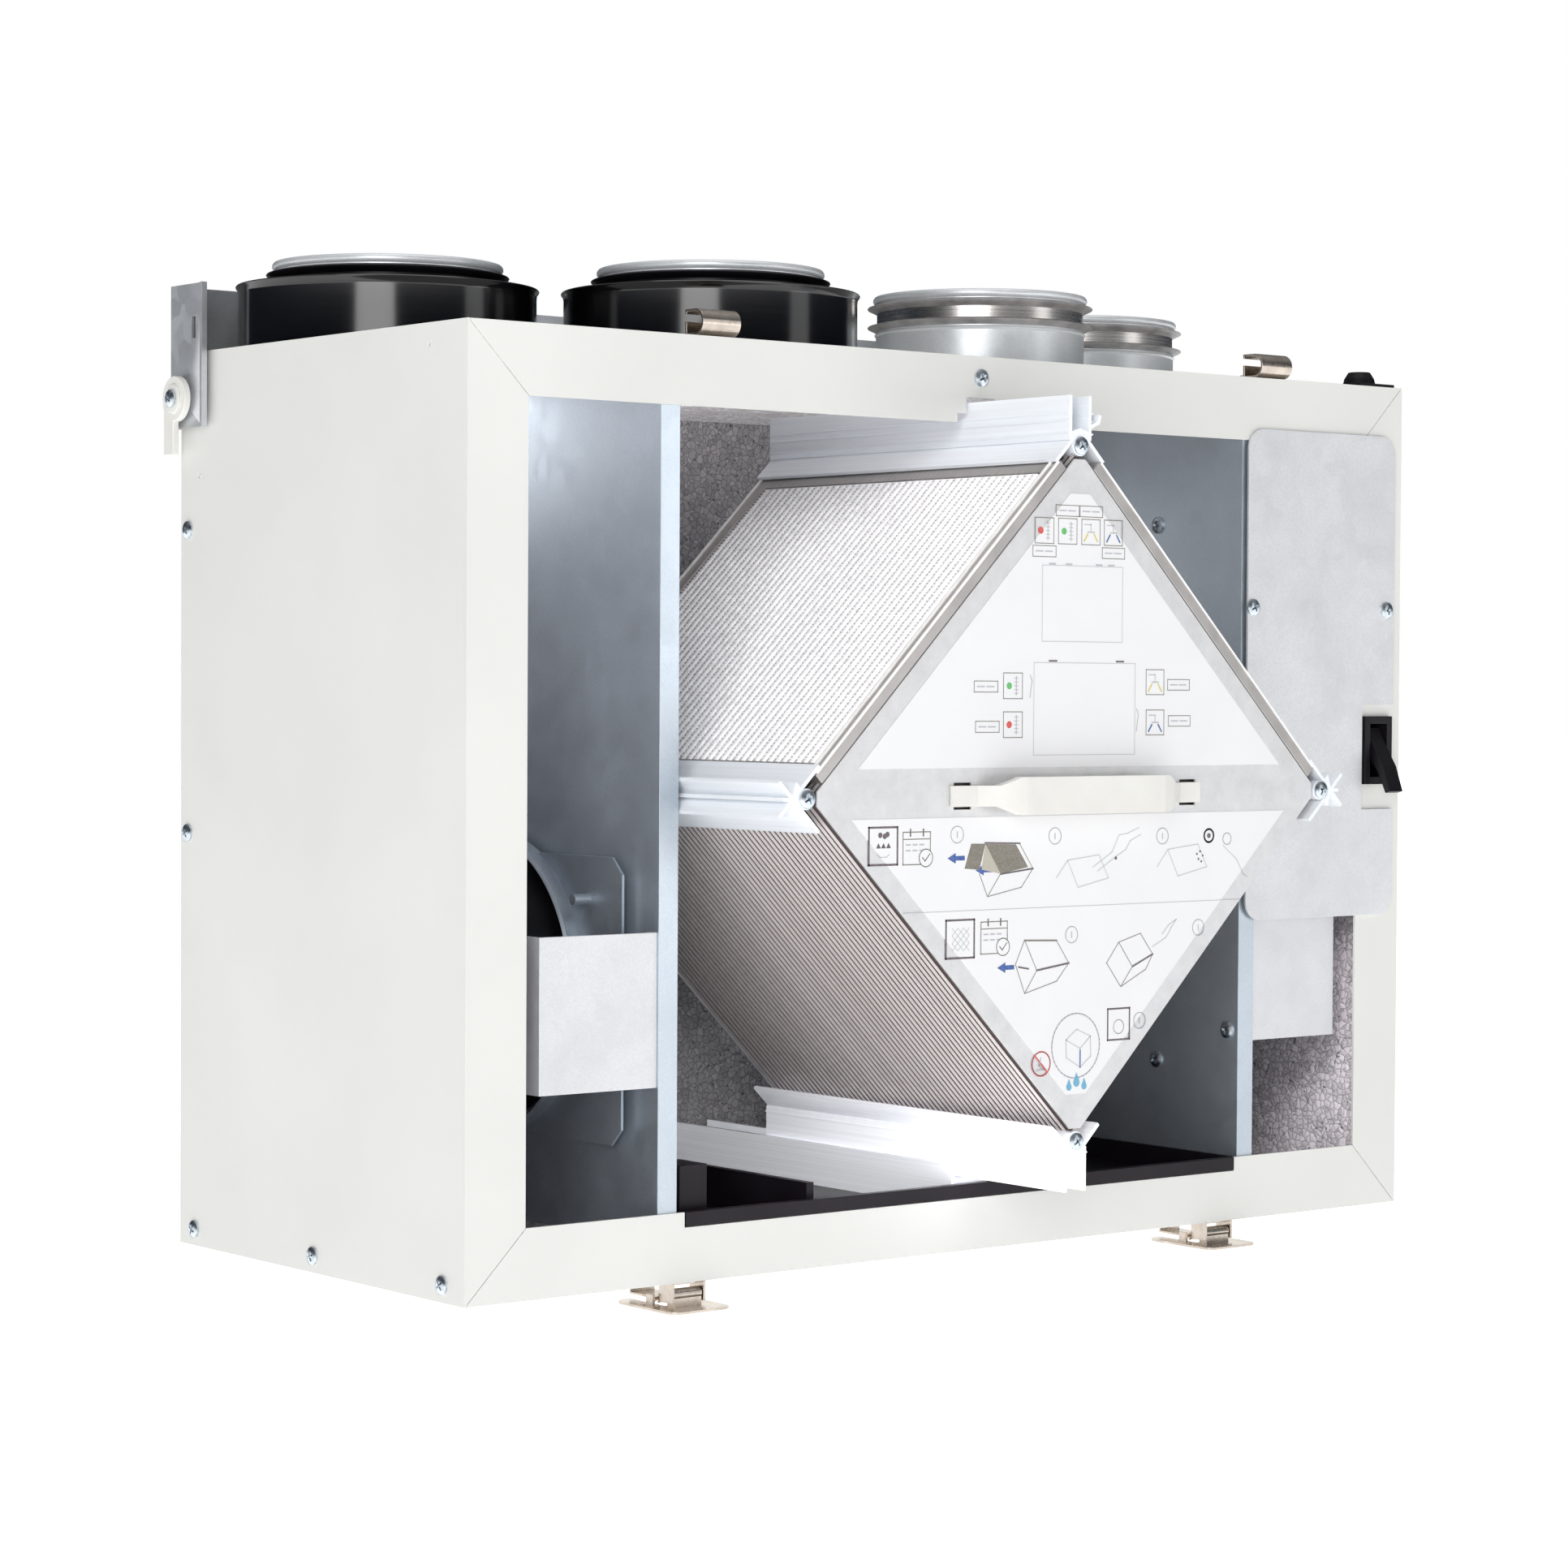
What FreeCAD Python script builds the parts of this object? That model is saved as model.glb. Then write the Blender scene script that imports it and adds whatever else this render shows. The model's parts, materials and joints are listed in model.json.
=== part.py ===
import FreeCAD
import Part
import math
import os

# Wall-hung heat recovery ventilation unit, millimetres. Every shape is drawn in the casing frame:
# X across the unit from its middle, Y from the front flange back towards the wall, Z up from the
# bottom plate. ROW_SHIFT then moves it to the row frame, whose origin is the middle of the wall
# rail's two screw holes on the wall plane.

# Casing
WIDTH = 680.0
HEIGHT = 495.0
DEPTH = 285.0
SHEET = 1.5
FLANGE = 37.0
MITRE_GAP = 0.6
SIDE_RETURN = 14.0
FIT = 0.3

# Notches in the top flange, each as (half width, upper edge), and in the bottom flange
TOP_NOTCH = ((17.0, 463.0), (10.5, 472.0))
TRAY_NOTCH_HALF = 202.0
TRAY_NOTCH_LOW = 29.0

# Foam lining
BACK_LINING = 20.0
CEILING_LINING = 21.0
FLOOR_LINING = 19.0
SIDE_LINING = 16.0

# Partitions either side of the exchanger bay
BAY_HALF = 206.0
PARTITION = 12.5
PARTITION_SHEET = 1.0
AIR_HOLE_R = 60.0

# Condensate tray, its drain spout (X, Y) and the guide rail on its floor
TRAY_HALF = BAY_HALF - 1.0
TRAY_FLOOR = 3.0
TRAY_WALL = 2.5
TRAY_LIP_GAP = 0.4
TRAY_BLOCK = (-198.0, -180.0, 10.0, 34.0, 60.0)
TRAY_RIB = (-114.0, -109.0, 8.0, 236.0, 45.0)
SPOUT = (-60.0, 216.0)
SPOUT_R = 10.0
SPOUT_NECK_R = 10.6
SPOUT_REACH = 24.0
DRAIN_R = 7.5
RAIL_X = 13.0
RAIL_WALL = 2.5
RAIL_TRACK = 40.0
RAIL_EDGE = 48.0

# Exchanger: a square block standing on its edge, seen from the front as a diamond
CORE_Z = 255.0
CORNER = 187.0
BLOCK_FRONT = -81.0
BLOCK_LENGTH = 259.0
END_PLATE = 1.5
FACE = 130.0
LIP_THICK = 2.0
FIN_REACH = 27.0
FIN_HALF = 7.0
BOSS_R = 5.5

# Walls of the corner profiles, as lines in the profile's own X and Z
LIP_LINES = [((0, 8.6), (17, -8.4)), ((0, 8.6), (-17, -8.4))]
FIN_LINES = [((-FIN_HALF, 3.0), (-FIN_HALF, FIN_REACH)), ((FIN_HALF, 3.0), (FIN_HALF, FIN_REACH))]
HOOK_LINES = [((FIN_HALF, 10.0), (13.0, 13.0)), ((13.0, 12.0), (14.5, 17.0))]
WING_LINES = [((0, 8.6), (9.0, 17.6)), ((0, 8.6), (-9.0, 17.6)), ((0, 6.0), (0, 15.0))]

# Strap handle, the slots that hold its ends, and the labels above and below it
HANDLE_SLOTS = ((-88.0, -76.0), (76.0, 88.0))
HANDLE_SLOT_HALF = 7.0
STRAP_Z = 255.2
STRAP_HALF = 10.0
STRAP_END_HALF = 5.5
GRIP_REACH = 14.0
LABEL_THICK = 0.3
LABEL_INSET = 11.0
LABEL_TIP_HALF = 7.0
STRIP_LOW = 244.0
STRIP_HIGH = 270.0

# Filters on the block's two upper faces
FILTER_THICK = 6.0
FILTER_GAP = 0.5
FILTER_BAR = 9.0
FILTER_START = 14.0
FILTER_END = 11.0

# Duct spigots: name, X, Y
SPIGOTS = (
    ("exhaust_spigot", -257.5, 202.5),
    ("outdoor_spigot", -105.0, 109.0),
    ("extract_spigot", 107.0, 123.0),
    ("supply_spigot", 259.0, 204.0),
)
SPIGOT_R = 61.75
SPIGOT_WALL = 0.8
SPIGOT_FOOT = 7.0
SPIGOT_BEAD = 1.2
DUCT_HOLE_R = 62.5
SPIGOT_TALL = 47.0
LIP_R = 65.7
LIP_HEIGHTS = (30.0, 42.0)
SLEEVE_R = 82.0
SLEEVE_TALL = 34.5
SLEEVE_WALL = 2.0
SLEEVE_FLARE = 1.0
SLEEVE_INNER_GAP = 2.0

# Fans
FAN_Y = 142.0
FAN_Z = 150.0
FAN_PLATE_X = 223.0
FAN_PLATE = 1.5
FAN_PLATE_Y = (26.0, 258.0)
FAN_PLATE_Z = (70.0, 222.0)
FAN_PLATE_NIP = 9.0
FAN_STUDS = ((57.0, 199.0), (57.0, 101.0), (230.0, 199.0), (230.0, 101.0))
FAN_BACK = 262.0
COLLAR_R = 82.0
SHROUD_R = 74.0
SHROUD_BORE = 56.0
IMPELLER_R = 54.0
IMPELLER_DISC = 3.0
IMPELLER_CAP_R = 16.0
BLADE_ROOT_R = 38.0
BLADE_THICK = 1.6
BLADE_LEAN = 24.0
BLADES = 18
MOTOR_R = 28.0
MOTOR_TALL = 20.0
MOTOR_TAIL_R = 12.0
SHAFT_R = 4.0

# Left terminal cover: X of its free end, then its Z limits
TERMINAL_X = -293.0
TERMINAL_Z = (103.0, 184.0)
TERMINAL_SHEET = 1.2

# Electronics box, the cover over it and the door catch beside it
BOX_X = (226.0, 293.0)
BOX_Z = (104.0, 226.0)
BOX_Y = (8.0, 42.0)
COVER = (208.0, 333.0, 176.0, 465.0)
COVER_FRONT = -1.8
COVER_NOTCH = (306.0, 240.0, 303.0)
COVER_ROUND = 12.0
BEZEL = (307.5, 331.0, 255.0, 296.0)
BEZEL_WELL = 16.0
BEZEL_RIM = 4.5
TONGUE_PIN = (5.0, 286.0)
TONGUE_PIN_R = 1.5

# Cable gland on the top plate
GLAND = (321.0, 17.5)
GLAND_HALF = 15.0
GLAND_HOLE_R = 8.0
GLAND_BORE_R = 4.5

# Wall rail and the locking discs on its turned ends
WALL_Y = DEPTH + 3.0
RAIL_SHEET = 1.5
RAIL_TOP = 532.0
RAIL_LOW = 440.0
RAIL_HALF = 345.0
RAIL_END_Y = 251.0
RAIL_END_LOW = 453.0
HEM = 1.8
HOLE_Z = 515.0
HOLE_SPACING = 300.0
HOLE_R = 3.5
DISC_Y = 274.5
DISC_Z = 469.0
DISC_R = 12.5
DISC_HUB_R = 8.0
DISC_SEAT_R = 6.0
DISC_GAP = 2.2
DISC_THICK = 3.8
HUB_TALL = 1.2
LOCK_STACK = DISC_GAP + DISC_THICK + HUB_TALL

# Top catches and toggle latches
CATCH_X = (-181.0, 231.5)
LATCH_X = (-199.0, 190.0)
CATCH_WIDE = 25.0
CATCH_Y = 6.0
CATCH_UP = 7.5
CATCH_R = 7.0
CATCH_SHEET = 1.4
LATCH_HALF = 11.0
LEVER_PIVOT_Y = 4.0
LEVER_PIVOT_Z = -6.5
LEVER_PIN_R = 1.6
LEVER_BARREL_R = 3.4
LEVER_HALF = 20.0
LEVER_LOW = -14.0
LEVER_THICK = 1.4
LEVER_ROUND = 7.0
HOOK_PIN_Y = 16.0
HOOK_PIN_Z = -10.0
HOOK_PIN_R = 1.2
HOOK_BARREL_R = 2.2
HOOK_HALF = 8.0
HOOK_REACH = 26.0
EAR = 1.5
PIN_FIT = 0.05

# Screws
HEAD_R = 4.9
HEAD_TALL = 2.2
SHANK_R = 2.0
PILOT_R = 1.6
BLIND = 8.0
COVER_SCREW_BLIND = 9.0

ROW_SHIFT = FreeCAD.Vector(0, -WALL_Y, -HOLE_Z)

HALF = WIDTH / 2
INNER = HALF - SHEET
CEILING = HEIGHT - SHEET - CEILING_LINING
FLOOR = SHEET + FLOOR_LINING
LINING_BACK = DEPTH - SHEET - BACK_LINING
LINING_SIDE = INNER - SIDE_LINING
BLOCK_BACK = BLOCK_FRONT + BLOCK_LENGTH
FACE_RUN = 2 * (FACE + FILTER_GAP)
ROOT2 = math.sqrt(2)

# Where the screws stand
SIDE_SCREWS = (
    (-HALF, 20.0, 9.0),
    (-HALF, 144.0, 9.0),
    (-HALF, 269.0, 9.0),
    (-HALF, 277.0, 229.0),
    (-HALF, 277.0, 397.0),
)
SIDE_HOLES = ((35.0, 484.0), (265.0, 426.5))
FLANGE_SCREW = (0.0, 0.0, 483.0)
COVER_SCREWS = ((212.0, 360.0), (326.0, 360.0))
PARTITION_SCREWS = ((10.5, 111.0), (70.0, 89.0), (72.0, 410.0))

V = FreeCAD.Vector
X_AXIS = V(1, 0, 0)
Y_AXIS = V(0, 1, 0)
Z_AXIS = V(0, 0, 1)


def box(x0, x1, y0, y1, z0, z1):
    return Part.makeBox(x1 - x0, y1 - y0, z1 - z0, V(x0, y0, z0))


def rod(base, axis, radius, length):
    return Part.makeCylinder(radius, length, base, axis)


def ring(base, axis, outer, inner, length):
    return rod(base, axis, outer, length).cut(rod(base, axis, inner, length))


def fuse(shapes):
    first = shapes[0]
    if len(shapes) == 1:
        return first
    return first.multiFuse(shapes[1:]).removeSplitter()


def cut(shape, tools):
    return shape.cut(tools) if tools else shape


def prism_xz(points, y0, y1):
    """A polygon drawn in X and Z, stretched from y0 to y1."""
    corners = [V(x, y0, z) for x, z in points]
    wire = Part.makePolygon(corners + corners[:1])
    return Part.Face(wire).extrude(V(0, y1 - y0, 0))


def prism_yz(points, x0, x1):
    """A polygon drawn in Y and Z, stretched from x0 to x1."""
    corners = [V(x0, y, z) for y, z in points]
    wire = Part.makePolygon(corners + corners[:1])
    return Part.Face(wire).extrude(V(x1 - x0, 0, 0))


def turned(points, base, axis):
    """A closed outline of (radius, height) pairs, turned about an axis through base."""
    corners = [V(r, 0, h) for r, h in points]
    wire = Part.makePolygon(corners + corners[:1])
    solid = Part.Face(wire).revolve(V(0, 0, 0), Z_AXIS, 360)
    solid.Placement = FreeCAD.Placement(base, FreeCAD.Rotation(Z_AXIS, axis))
    return solid


def strip(p0, p1, thick):
    """The corners of a straight bar of a cross-section, from p0 to p1."""
    dx = p1[0] - p0[0]
    dz = p1[1] - p0[1]
    run = math.hypot(dx, dz)
    ox = -dz / run * thick / 2
    oz = dx / run * thick / 2
    near = [(p0[0] + ox, p0[1] + oz), (p1[0] + ox, p1[1] + oz)]
    return near + [(p1[0] - ox, p1[1] - oz), (p0[0] - ox, p0[1] - oz)]


def mirrored(shape):
    return shape.mirror(V(0, 0, 0), X_AXIS)


def save(name, shape):
    placed = shape.copy()
    placed.translate(ROW_SHIFT)
    placed.exportStep("parts/" + name + ".step")


def pan_screw(x, y, z, direction, shank):
    """A pan-head screw: the head stands out along direction, the shank goes the other way."""
    base = V(x, y, z)
    outline = [(0, 0), (HEAD_R, 0), (HEAD_R, 0.8), (HEAD_R * 0.75, HEAD_TALL), (0, HEAD_TALL)]
    head = turned(outline, base, direction)
    slots = [box(-0.5, 0.5, -2.6, 2.6, 1.2, 3.0), box(-2.6, 2.6, -0.5, 0.5, 1.2, 3.0)]
    for slot in slots:
        slot.Placement = FreeCAD.Placement(base, FreeCAD.Rotation(Z_AXIS, direction))
    body = rod(base, direction * -1, SHANK_R, shank)
    return head.cut(slots).fuse(body).removeSplitter()


def screw_clearance(x, y, z, direction, depth):
    """The hole that a pan screw's shank goes through."""
    return rod(V(x, y, z) + direction * 0.5, direction * -1, SHANK_R, depth + 0.5)


# ---------------------------------------------------------------- casing
def casing_side():
    """The left side: wall and front flange folded from one sheet, mitred at both corners."""
    wall = box(-HALF, -INNER, 0, DEPTH, 0, HEIGHT)
    inner = HALF - FLANGE
    flange = prism_xz([(-HALF, 0), (-inner, FLANGE), (-inner, HEIGHT - FLANGE), (-HALF, HEIGHT)], 0, SHEET)
    fold = -INNER + SIDE_RETURN
    rear = box(-INNER, fold, DEPTH - 2 * SHEET - FIT, DEPTH - SHEET - FIT, 12, HEIGHT - 12)
    foot = box(-INNER, fold, 8, DEPTH - 12, SHEET + FIT, 2 * SHEET + FIT)
    return fuse([wall, flange, rear, foot])


def casing_left_side():
    tools = [rod(V(-HALF - 1, y, z), X_AXIS, PILOT_R, SHEET + 2) for y, z in SIDE_HOLES]
    tools += [screw_clearance(x, y, z, X_AXIS * -1, BLIND) for x, y, z in SIDE_SCREWS]
    return cut(casing_side(), tools)


def casing_right_side():
    plain = mirrored(casing_side())
    recess = box(BEZEL[0] + 2, BEZEL[1] - 2, -1, SHEET + 1, BEZEL[2] + 2, BEZEL[3] - 2)
    x, z = COVER_SCREWS[1]
    screw = screw_clearance(x, COVER_FRONT, z, Y_AXIS * -1, COVER_SCREW_BLIND)
    return cut(plain, [recess, screw])


def end_flange(z_edge, z_inner):
    """A top or bottom front flange, kept clear of the side flanges along the mitres."""
    step = SHEET + FIT
    sign = 1 if z_edge > z_inner else -1
    outer = HALF - step
    inner = HALF - FLANGE - MITRE_GAP
    knee = z_edge - sign * (step - MITRE_GAP)
    left = [(-outer, z_edge), (-outer, knee), (-inner, z_inner)]
    right = [(inner, z_inner), (outer, knee), (outer, z_edge)]
    return prism_xz(left + right, 0, SHEET)


def casing_top():
    plate = box(-INNER + FIT, INNER - FIT, 0, DEPTH, HEIGHT - SHEET, HEIGHT)
    shape = fuse([plate, end_flange(HEIGHT, HEIGHT - FLANGE)])
    tools = [rod(V(x, y, HEIGHT - 5), Z_AXIS, DUCT_HOLE_R, 10) for _, x, y in SPIGOTS]
    tools += [box(-half, half, -1, SHEET + 1, HEIGHT - FLANGE - 1, top) for half, top in TOP_NOTCH]
    tools.append(screw_clearance(*FLANGE_SCREW, Y_AXIS * -1, BLIND))
    tools.append(rod(V(GLAND[0], GLAND[1], HEIGHT - 5), Z_AXIS, GLAND_HOLE_R, 10))
    return cut(shape, tools)


def casing_bottom():
    plate = box(-INNER + FIT, INNER - FIT, 0, DEPTH, 0, SHEET)
    shape = fuse([plate, end_flange(0, FLANGE)])
    notch = box(-TRAY_NOTCH_HALF, TRAY_NOTCH_HALF, -1, SHEET + 1, TRAY_NOTCH_LOW, FLANGE + 1)
    spout = rod(V(SPOUT[0], SPOUT[1], -1), Z_AXIS, SPOUT_NECK_R, SHEET + 2)
    return cut(shape, [notch, spout])


def casing_back():
    return box(-INNER + FIT, INNER - FIT, DEPTH - SHEET, DEPTH, SHEET, HEIGHT - SHEET)


# ---------------------------------------------------------------- lining
def insulation_ceiling():
    pad = box(-INNER, INNER, SHEET, DEPTH - 2 * SHEET - 1, CEILING, HEIGHT - SHEET)
    tools = [rod(V(x, y, CEILING - 1), Z_AXIS, DUCT_HOLE_R, CEILING_LINING + 2) for _, x, y in SPIGOTS]
    tools.append(screw_clearance(*FLANGE_SCREW, Y_AXIS * -1, BLIND))
    tools.append(rod(V(GLAND[0], GLAND[1], CEILING - 1), Z_AXIS, GLAND_HOLE_R, CEILING_LINING + 2))
    lips = [box(s * HALF - 40, s * HALF + 40, DEPTH - 6, DEPTH, CEILING - 1, HEIGHT) for s in (-1, 1)]
    return cut(pad, tools + lips)


def insulation_floor():
    half = INNER - SIDE_RETURN - 1
    pad = box(-half, half, SHEET, DEPTH - 2 * SHEET - 1, SHEET, FLOOR)
    spout = rod(V(SPOUT[0], SPOUT[1], 0), Z_AXIS, SPOUT_NECK_R, FLOOR + 5)
    return cut(pad, [spout])


def insulation_back():
    return box(-LINING_SIDE, LINING_SIDE, LINING_BACK, DEPTH - SHEET, FLOOR, CEILING)


def insulation_sides():
    """One lining pad per side wall; the right one is notched for the door catch."""
    pads = []
    for side in (-1, 1):
        low = min(side * LINING_SIDE, side * INNER)
        pad = box(low, low + SIDE_LINING, SHEET, DEPTH - 4 * SHEET, FLOOR, CEILING)
        if side > 0:
            pad = pad.cut(box(low - 1, INNER, 0, 24, BEZEL[2] - 6, BEZEL[3] + 6))
            x, z = COVER_SCREWS[1]
            pad = pad.cut(screw_clearance(x, COVER_FRONT, z, Y_AXIS * -1, COVER_SCREW_BLIND))
        else:
            pad = pad.cut([screw_clearance(x, y, z, X_AXIS * -1, BLIND) for x, y, z in SIDE_SCREWS])
        pads.append(pad)
    return Part.makeCompound(pads)


# ---------------------------------------------------------------- partitions
def partition():
    """The right partition: two skins joined by a front and a rear edge, open towards the floor."""
    front = SHEET + FIT
    outside = box(BAY_HALF, BAY_HALF + PARTITION, front, LINING_BACK, FLOOR, CEILING)
    inside = box(
        BAY_HALF + PARTITION_SHEET,
        BAY_HALF + PARTITION - PARTITION_SHEET,
        front + PARTITION_SHEET,
        LINING_BACK - PARTITION_SHEET,
        FLOOR - 1,
        CEILING + 1,
    )
    hole = rod(V(BAY_HALF - 1, FAN_Y, FAN_Z), X_AXIS, AIR_HOLE_R, PARTITION + 2)
    return outside.cut([inside, hole])


def right_partition():
    tools = [screw_clearance(BAY_HALF, y, z, X_AXIS * -1, BLIND) for y, z in PARTITION_SCREWS]
    x, z = COVER_SCREWS[0]
    tools.append(screw_clearance(x, COVER_FRONT, z, Y_AXIS * -1, COVER_SCREW_BLIND))
    return cut(partition(), tools)


def left_partition():
    return mirrored(partition())


# ---------------------------------------------------------------- condensate tray and guide rail
def drip_tray():
    """A shallow tub whose front lip fills the notch in the bottom flange, with its drain spout."""
    back = LINING_BACK - 1
    front = SHEET + FIT
    tub = box(-TRAY_HALF, TRAY_HALF, front, back, FLOOR, FLANGE)
    half = TRAY_HALF - TRAY_WALL
    hollow = box(-half, half, front + TRAY_WALL, back - TRAY_WALL, FLOOR + TRAY_FLOOR, FLANGE + 1)
    half = TRAY_NOTCH_HALF - TRAY_LIP_GAP
    lip = box(-half, half, -0.6, front + 1, TRAY_NOTCH_LOW + TRAY_LIP_GAP, FLANGE)
    block, rib = (box(x0, x1, y0, y1, FLOOR, top) for x0, x1, y0, y1, top in (TRAY_BLOCK, TRAY_RIB))
    spout = rod(V(SPOUT[0], SPOUT[1], -SPOUT_REACH), Z_AXIS, SPOUT_R, SPOUT_REACH + 1)
    neck = rod(V(SPOUT[0], SPOUT[1], 0), Z_AXIS, SPOUT_NECK_R, FLOOR + 1)
    bore = rod(V(SPOUT[0], SPOUT[1], -SPOUT_REACH - 1), Z_AXIS, DRAIN_R, SPOUT_REACH + FLANGE)
    return cut(fuse([tub.cut(hollow), lip, block, rib, spout, neck]), [bore])


def guide_rail():
    """A channel on the tray floor that the exchanger's lower fins run in."""
    low = FLOOR + TRAY_FLOOR
    solid = box(-RAIL_X, RAIL_X, 5, 260, low, RAIL_EDGE)
    track = box(-RAIL_X + RAIL_WALL, RAIL_X - RAIL_WALL, 0, 270, RAIL_TRACK, RAIL_EDGE + 1)
    return solid.cut(track)


# ---------------------------------------------------------------- fans
def fan_plate():
    """A right-hand mounting plate with a rolled collar round its air hole and four stand-off studs."""
    x0 = FAN_PLATE_X
    y0, y1 = FAN_PLATE_Y
    z0, z1 = FAN_PLATE_Z
    nip = FAN_PLATE_NIP
    outline = [(y0, z0 + nip), (y0, z1 - nip), (y0 + nip, z1), (y1, z1), (y1, z0), (y0 + nip, z0)]
    plate = prism_yz(outline, x0, x0 + FAN_PLATE)
    roll = [(COLLAR_R, 0), (COLLAR_R, 9), (COLLAR_R - 1.5, 10.5), (COLLAR_R - 3, 9), (COLLAR_R - 3, 0)]
    collar = turned(roll, V(x0, FAN_Y, FAN_Z), X_AXIS)
    hole = rod(V(x0 - 1, FAN_Y, FAN_Z), X_AXIS, SHROUD_BORE + 1, FAN_PLATE + 2)
    studs = [rod(V(BAY_HALF + PARTITION, y, z), X_AXIS, 3.0, 16) for y, z in FAN_STUDS]
    return fuse([plate, collar] + studs).cut(hole)


def fan_shroud():
    """The black ring housing round the impeller, with the spider that holds the motor."""
    x0 = FAN_PLATE_X + FAN_PLATE
    body = ring(V(x0, FAN_Y, FAN_Z), X_AXIS, SHROUD_R, SHROUD_BORE, FAN_BACK - x0)
    lip = ring(V(FAN_BACK, FAN_Y, FAN_Z), X_AXIS, SHROUD_R - 4, SHROUD_BORE + 3, 3)
    arms = []
    for turn in range(4):
        arm = box(x0, x0 + 3, -3, 3, MOTOR_R - 1, SHROUD_BORE + 2)
        arm.rotate(V(0, 0, 0), X_AXIS, 45 + 90 * turn)
        arm.translate(V(0, FAN_Y, FAN_Z))
        arms.append(arm)
    seat = ring(V(x0, FAN_Y, FAN_Z), X_AXIS, MOTOR_R + 2, MOTOR_TAIL_R, 3)
    return fuse([body, lip, seat] + arms)


def fan_motor():
    """The stator and its shaft, seated on the spider."""
    x0 = FAN_PLATE_X + FAN_PLATE
    can = rod(V(x0 + 3, FAN_Y, FAN_Z), X_AXIS, MOTOR_R, MOTOR_TALL)
    tail = rod(V(x0 - 3, FAN_Y, FAN_Z), X_AXIS, MOTOR_TAIL_R, 6)
    shaft = rod(V(x0, FAN_Y, FAN_Z), X_AXIS, SHAFT_R, FAN_BACK - x0 + 1)
    return fuse([can, tail, shaft])


def fan_impeller():
    """A bladed wheel whose grey hub disc runs on the motor shaft."""
    x0 = FAN_PLATE_X + FAN_PLATE + 4
    x1 = FAN_BACK
    disc = rod(V(x1 - IMPELLER_DISC, FAN_Y, FAN_Z), X_AXIS, IMPELLER_R, IMPELLER_DISC)
    cap = rod(V(x1 - 9, FAN_Y, FAN_Z), X_AXIS, IMPELLER_CAP_R, 9)
    rim = ring(V(x0, FAN_Y, FAN_Z), X_AXIS, IMPELLER_R, IMPELLER_R - 6, 3)
    blades = []
    for step in range(BLADES):
        half = BLADE_THICK / 2
        blade = box(x0, x1 - IMPELLER_DISC, -half, half, BLADE_ROOT_R, IMPELLER_R - 1)
        blade.rotate(V(0, 0, BLADE_ROOT_R + 6), X_AXIS, BLADE_LEAN)
        blade.rotate(V(0, 0, 0), X_AXIS, 360.0 * step / BLADES)
        blade.translate(V(0, FAN_Y, FAN_Z))
        blades.append(blade.common(rod(V(x0, FAN_Y, FAN_Z), X_AXIS, IMPELLER_R - 0.2, x1 - x0)))
    bore = rod(V(x0, FAN_Y, FAN_Z), X_AXIS, SHAFT_R + PIN_FIT, x1 - x0 + 5)
    return fuse([disc, cap, rim] + blades).cut(bore)


# ---------------------------------------------------------------- left bay cover, electronics
def left_terminal_cover():
    """A folded sheet across the left bay with its end turned back."""
    x0 = TERMINAL_X
    x1 = -(BAY_HALF + PARTITION)
    z0, z1 = TERMINAL_Z
    front = box(x0, x1, 3.0, 3.0 + TERMINAL_SHEET, z0, z1)
    turn = box(x0, x0 + TERMINAL_SHEET, 3.0, 32.0, z0, z1)
    tab = box(x1 - TERMINAL_SHEET, x1, 3.0, 12.0, z0, z1)
    return fuse([front, turn, tab])


def electronics_box():
    shell = box(*BOX_X, *BOX_Y, *BOX_Z)
    x0, x1 = BOX_X
    y0, y1 = BOX_Y
    z0, z1 = BOX_Z
    hollow = box(x0 + 1, x1 - 1, y0 + 1, y1 + 1, z0 + 1, z1 - 1)
    ear = box(BAY_HALF + PARTITION + 1, x0, y0, y0 + 1, z0, z1)
    return fuse([shell.cut(hollow), ear])


def circuit_board():
    """The control board on four pillars, with its relays, transformer and terminals."""
    x0, x1, z0, z1 = BOX_X[0] + 5, BOX_X[1] - 5, BOX_Z[0] + 6, BOX_Z[1] - 6
    board = box(x0, x1, 17, 18.6, z0, z1)
    corners = [(x, z) for x in (x0 + 4, x1 - 4) for z in (z0 + 4, z1 - 4)]
    pillars = [rod(V(x, BOX_Y[0] + 1, z), Y_AXIS, 2.5, 8) for x, z in corners]
    transformer = box(x0 + 8, x0 + 34, 18.6, 38, z0 + 12, z0 + 36)
    relays = [box(x1 - 22, x1 - 8, 18.6, 32, z0 + 14 + 22 * k, z0 + 30 + 22 * k) for k in range(4)]
    terminals = box(x0 + 8, x1 - 28, 18.6, 29, z1 - 14, z1 - 4)
    return fuse([board, transformer, terminals] + pillars + relays)


def electronics_cover():
    """A flat sheet over the right bay, with round corners and a notch for the door catch."""
    x0, x1, z0, z1 = COVER
    plate = box(x0, x1, COVER_FRONT, -FIT, z0, z1)
    notch = box(COVER_NOTCH[0], x1 + 1, COVER_FRONT - 1, 1, COVER_NOTCH[1], COVER_NOTCH[2])
    upright = [e for e in plate.Edges if abs(e.tangentAt(e.FirstParameter).y) > 0.9]
    round_plate = plate.makeFillet(COVER_ROUND, upright)
    holes = [screw_clearance(x, COVER_FRONT, z, Y_AXIS * -1, COVER_SCREW_BLIND) for x, z in COVER_SCREWS]
    return cut(round_plate, [notch] + holes)


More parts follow.
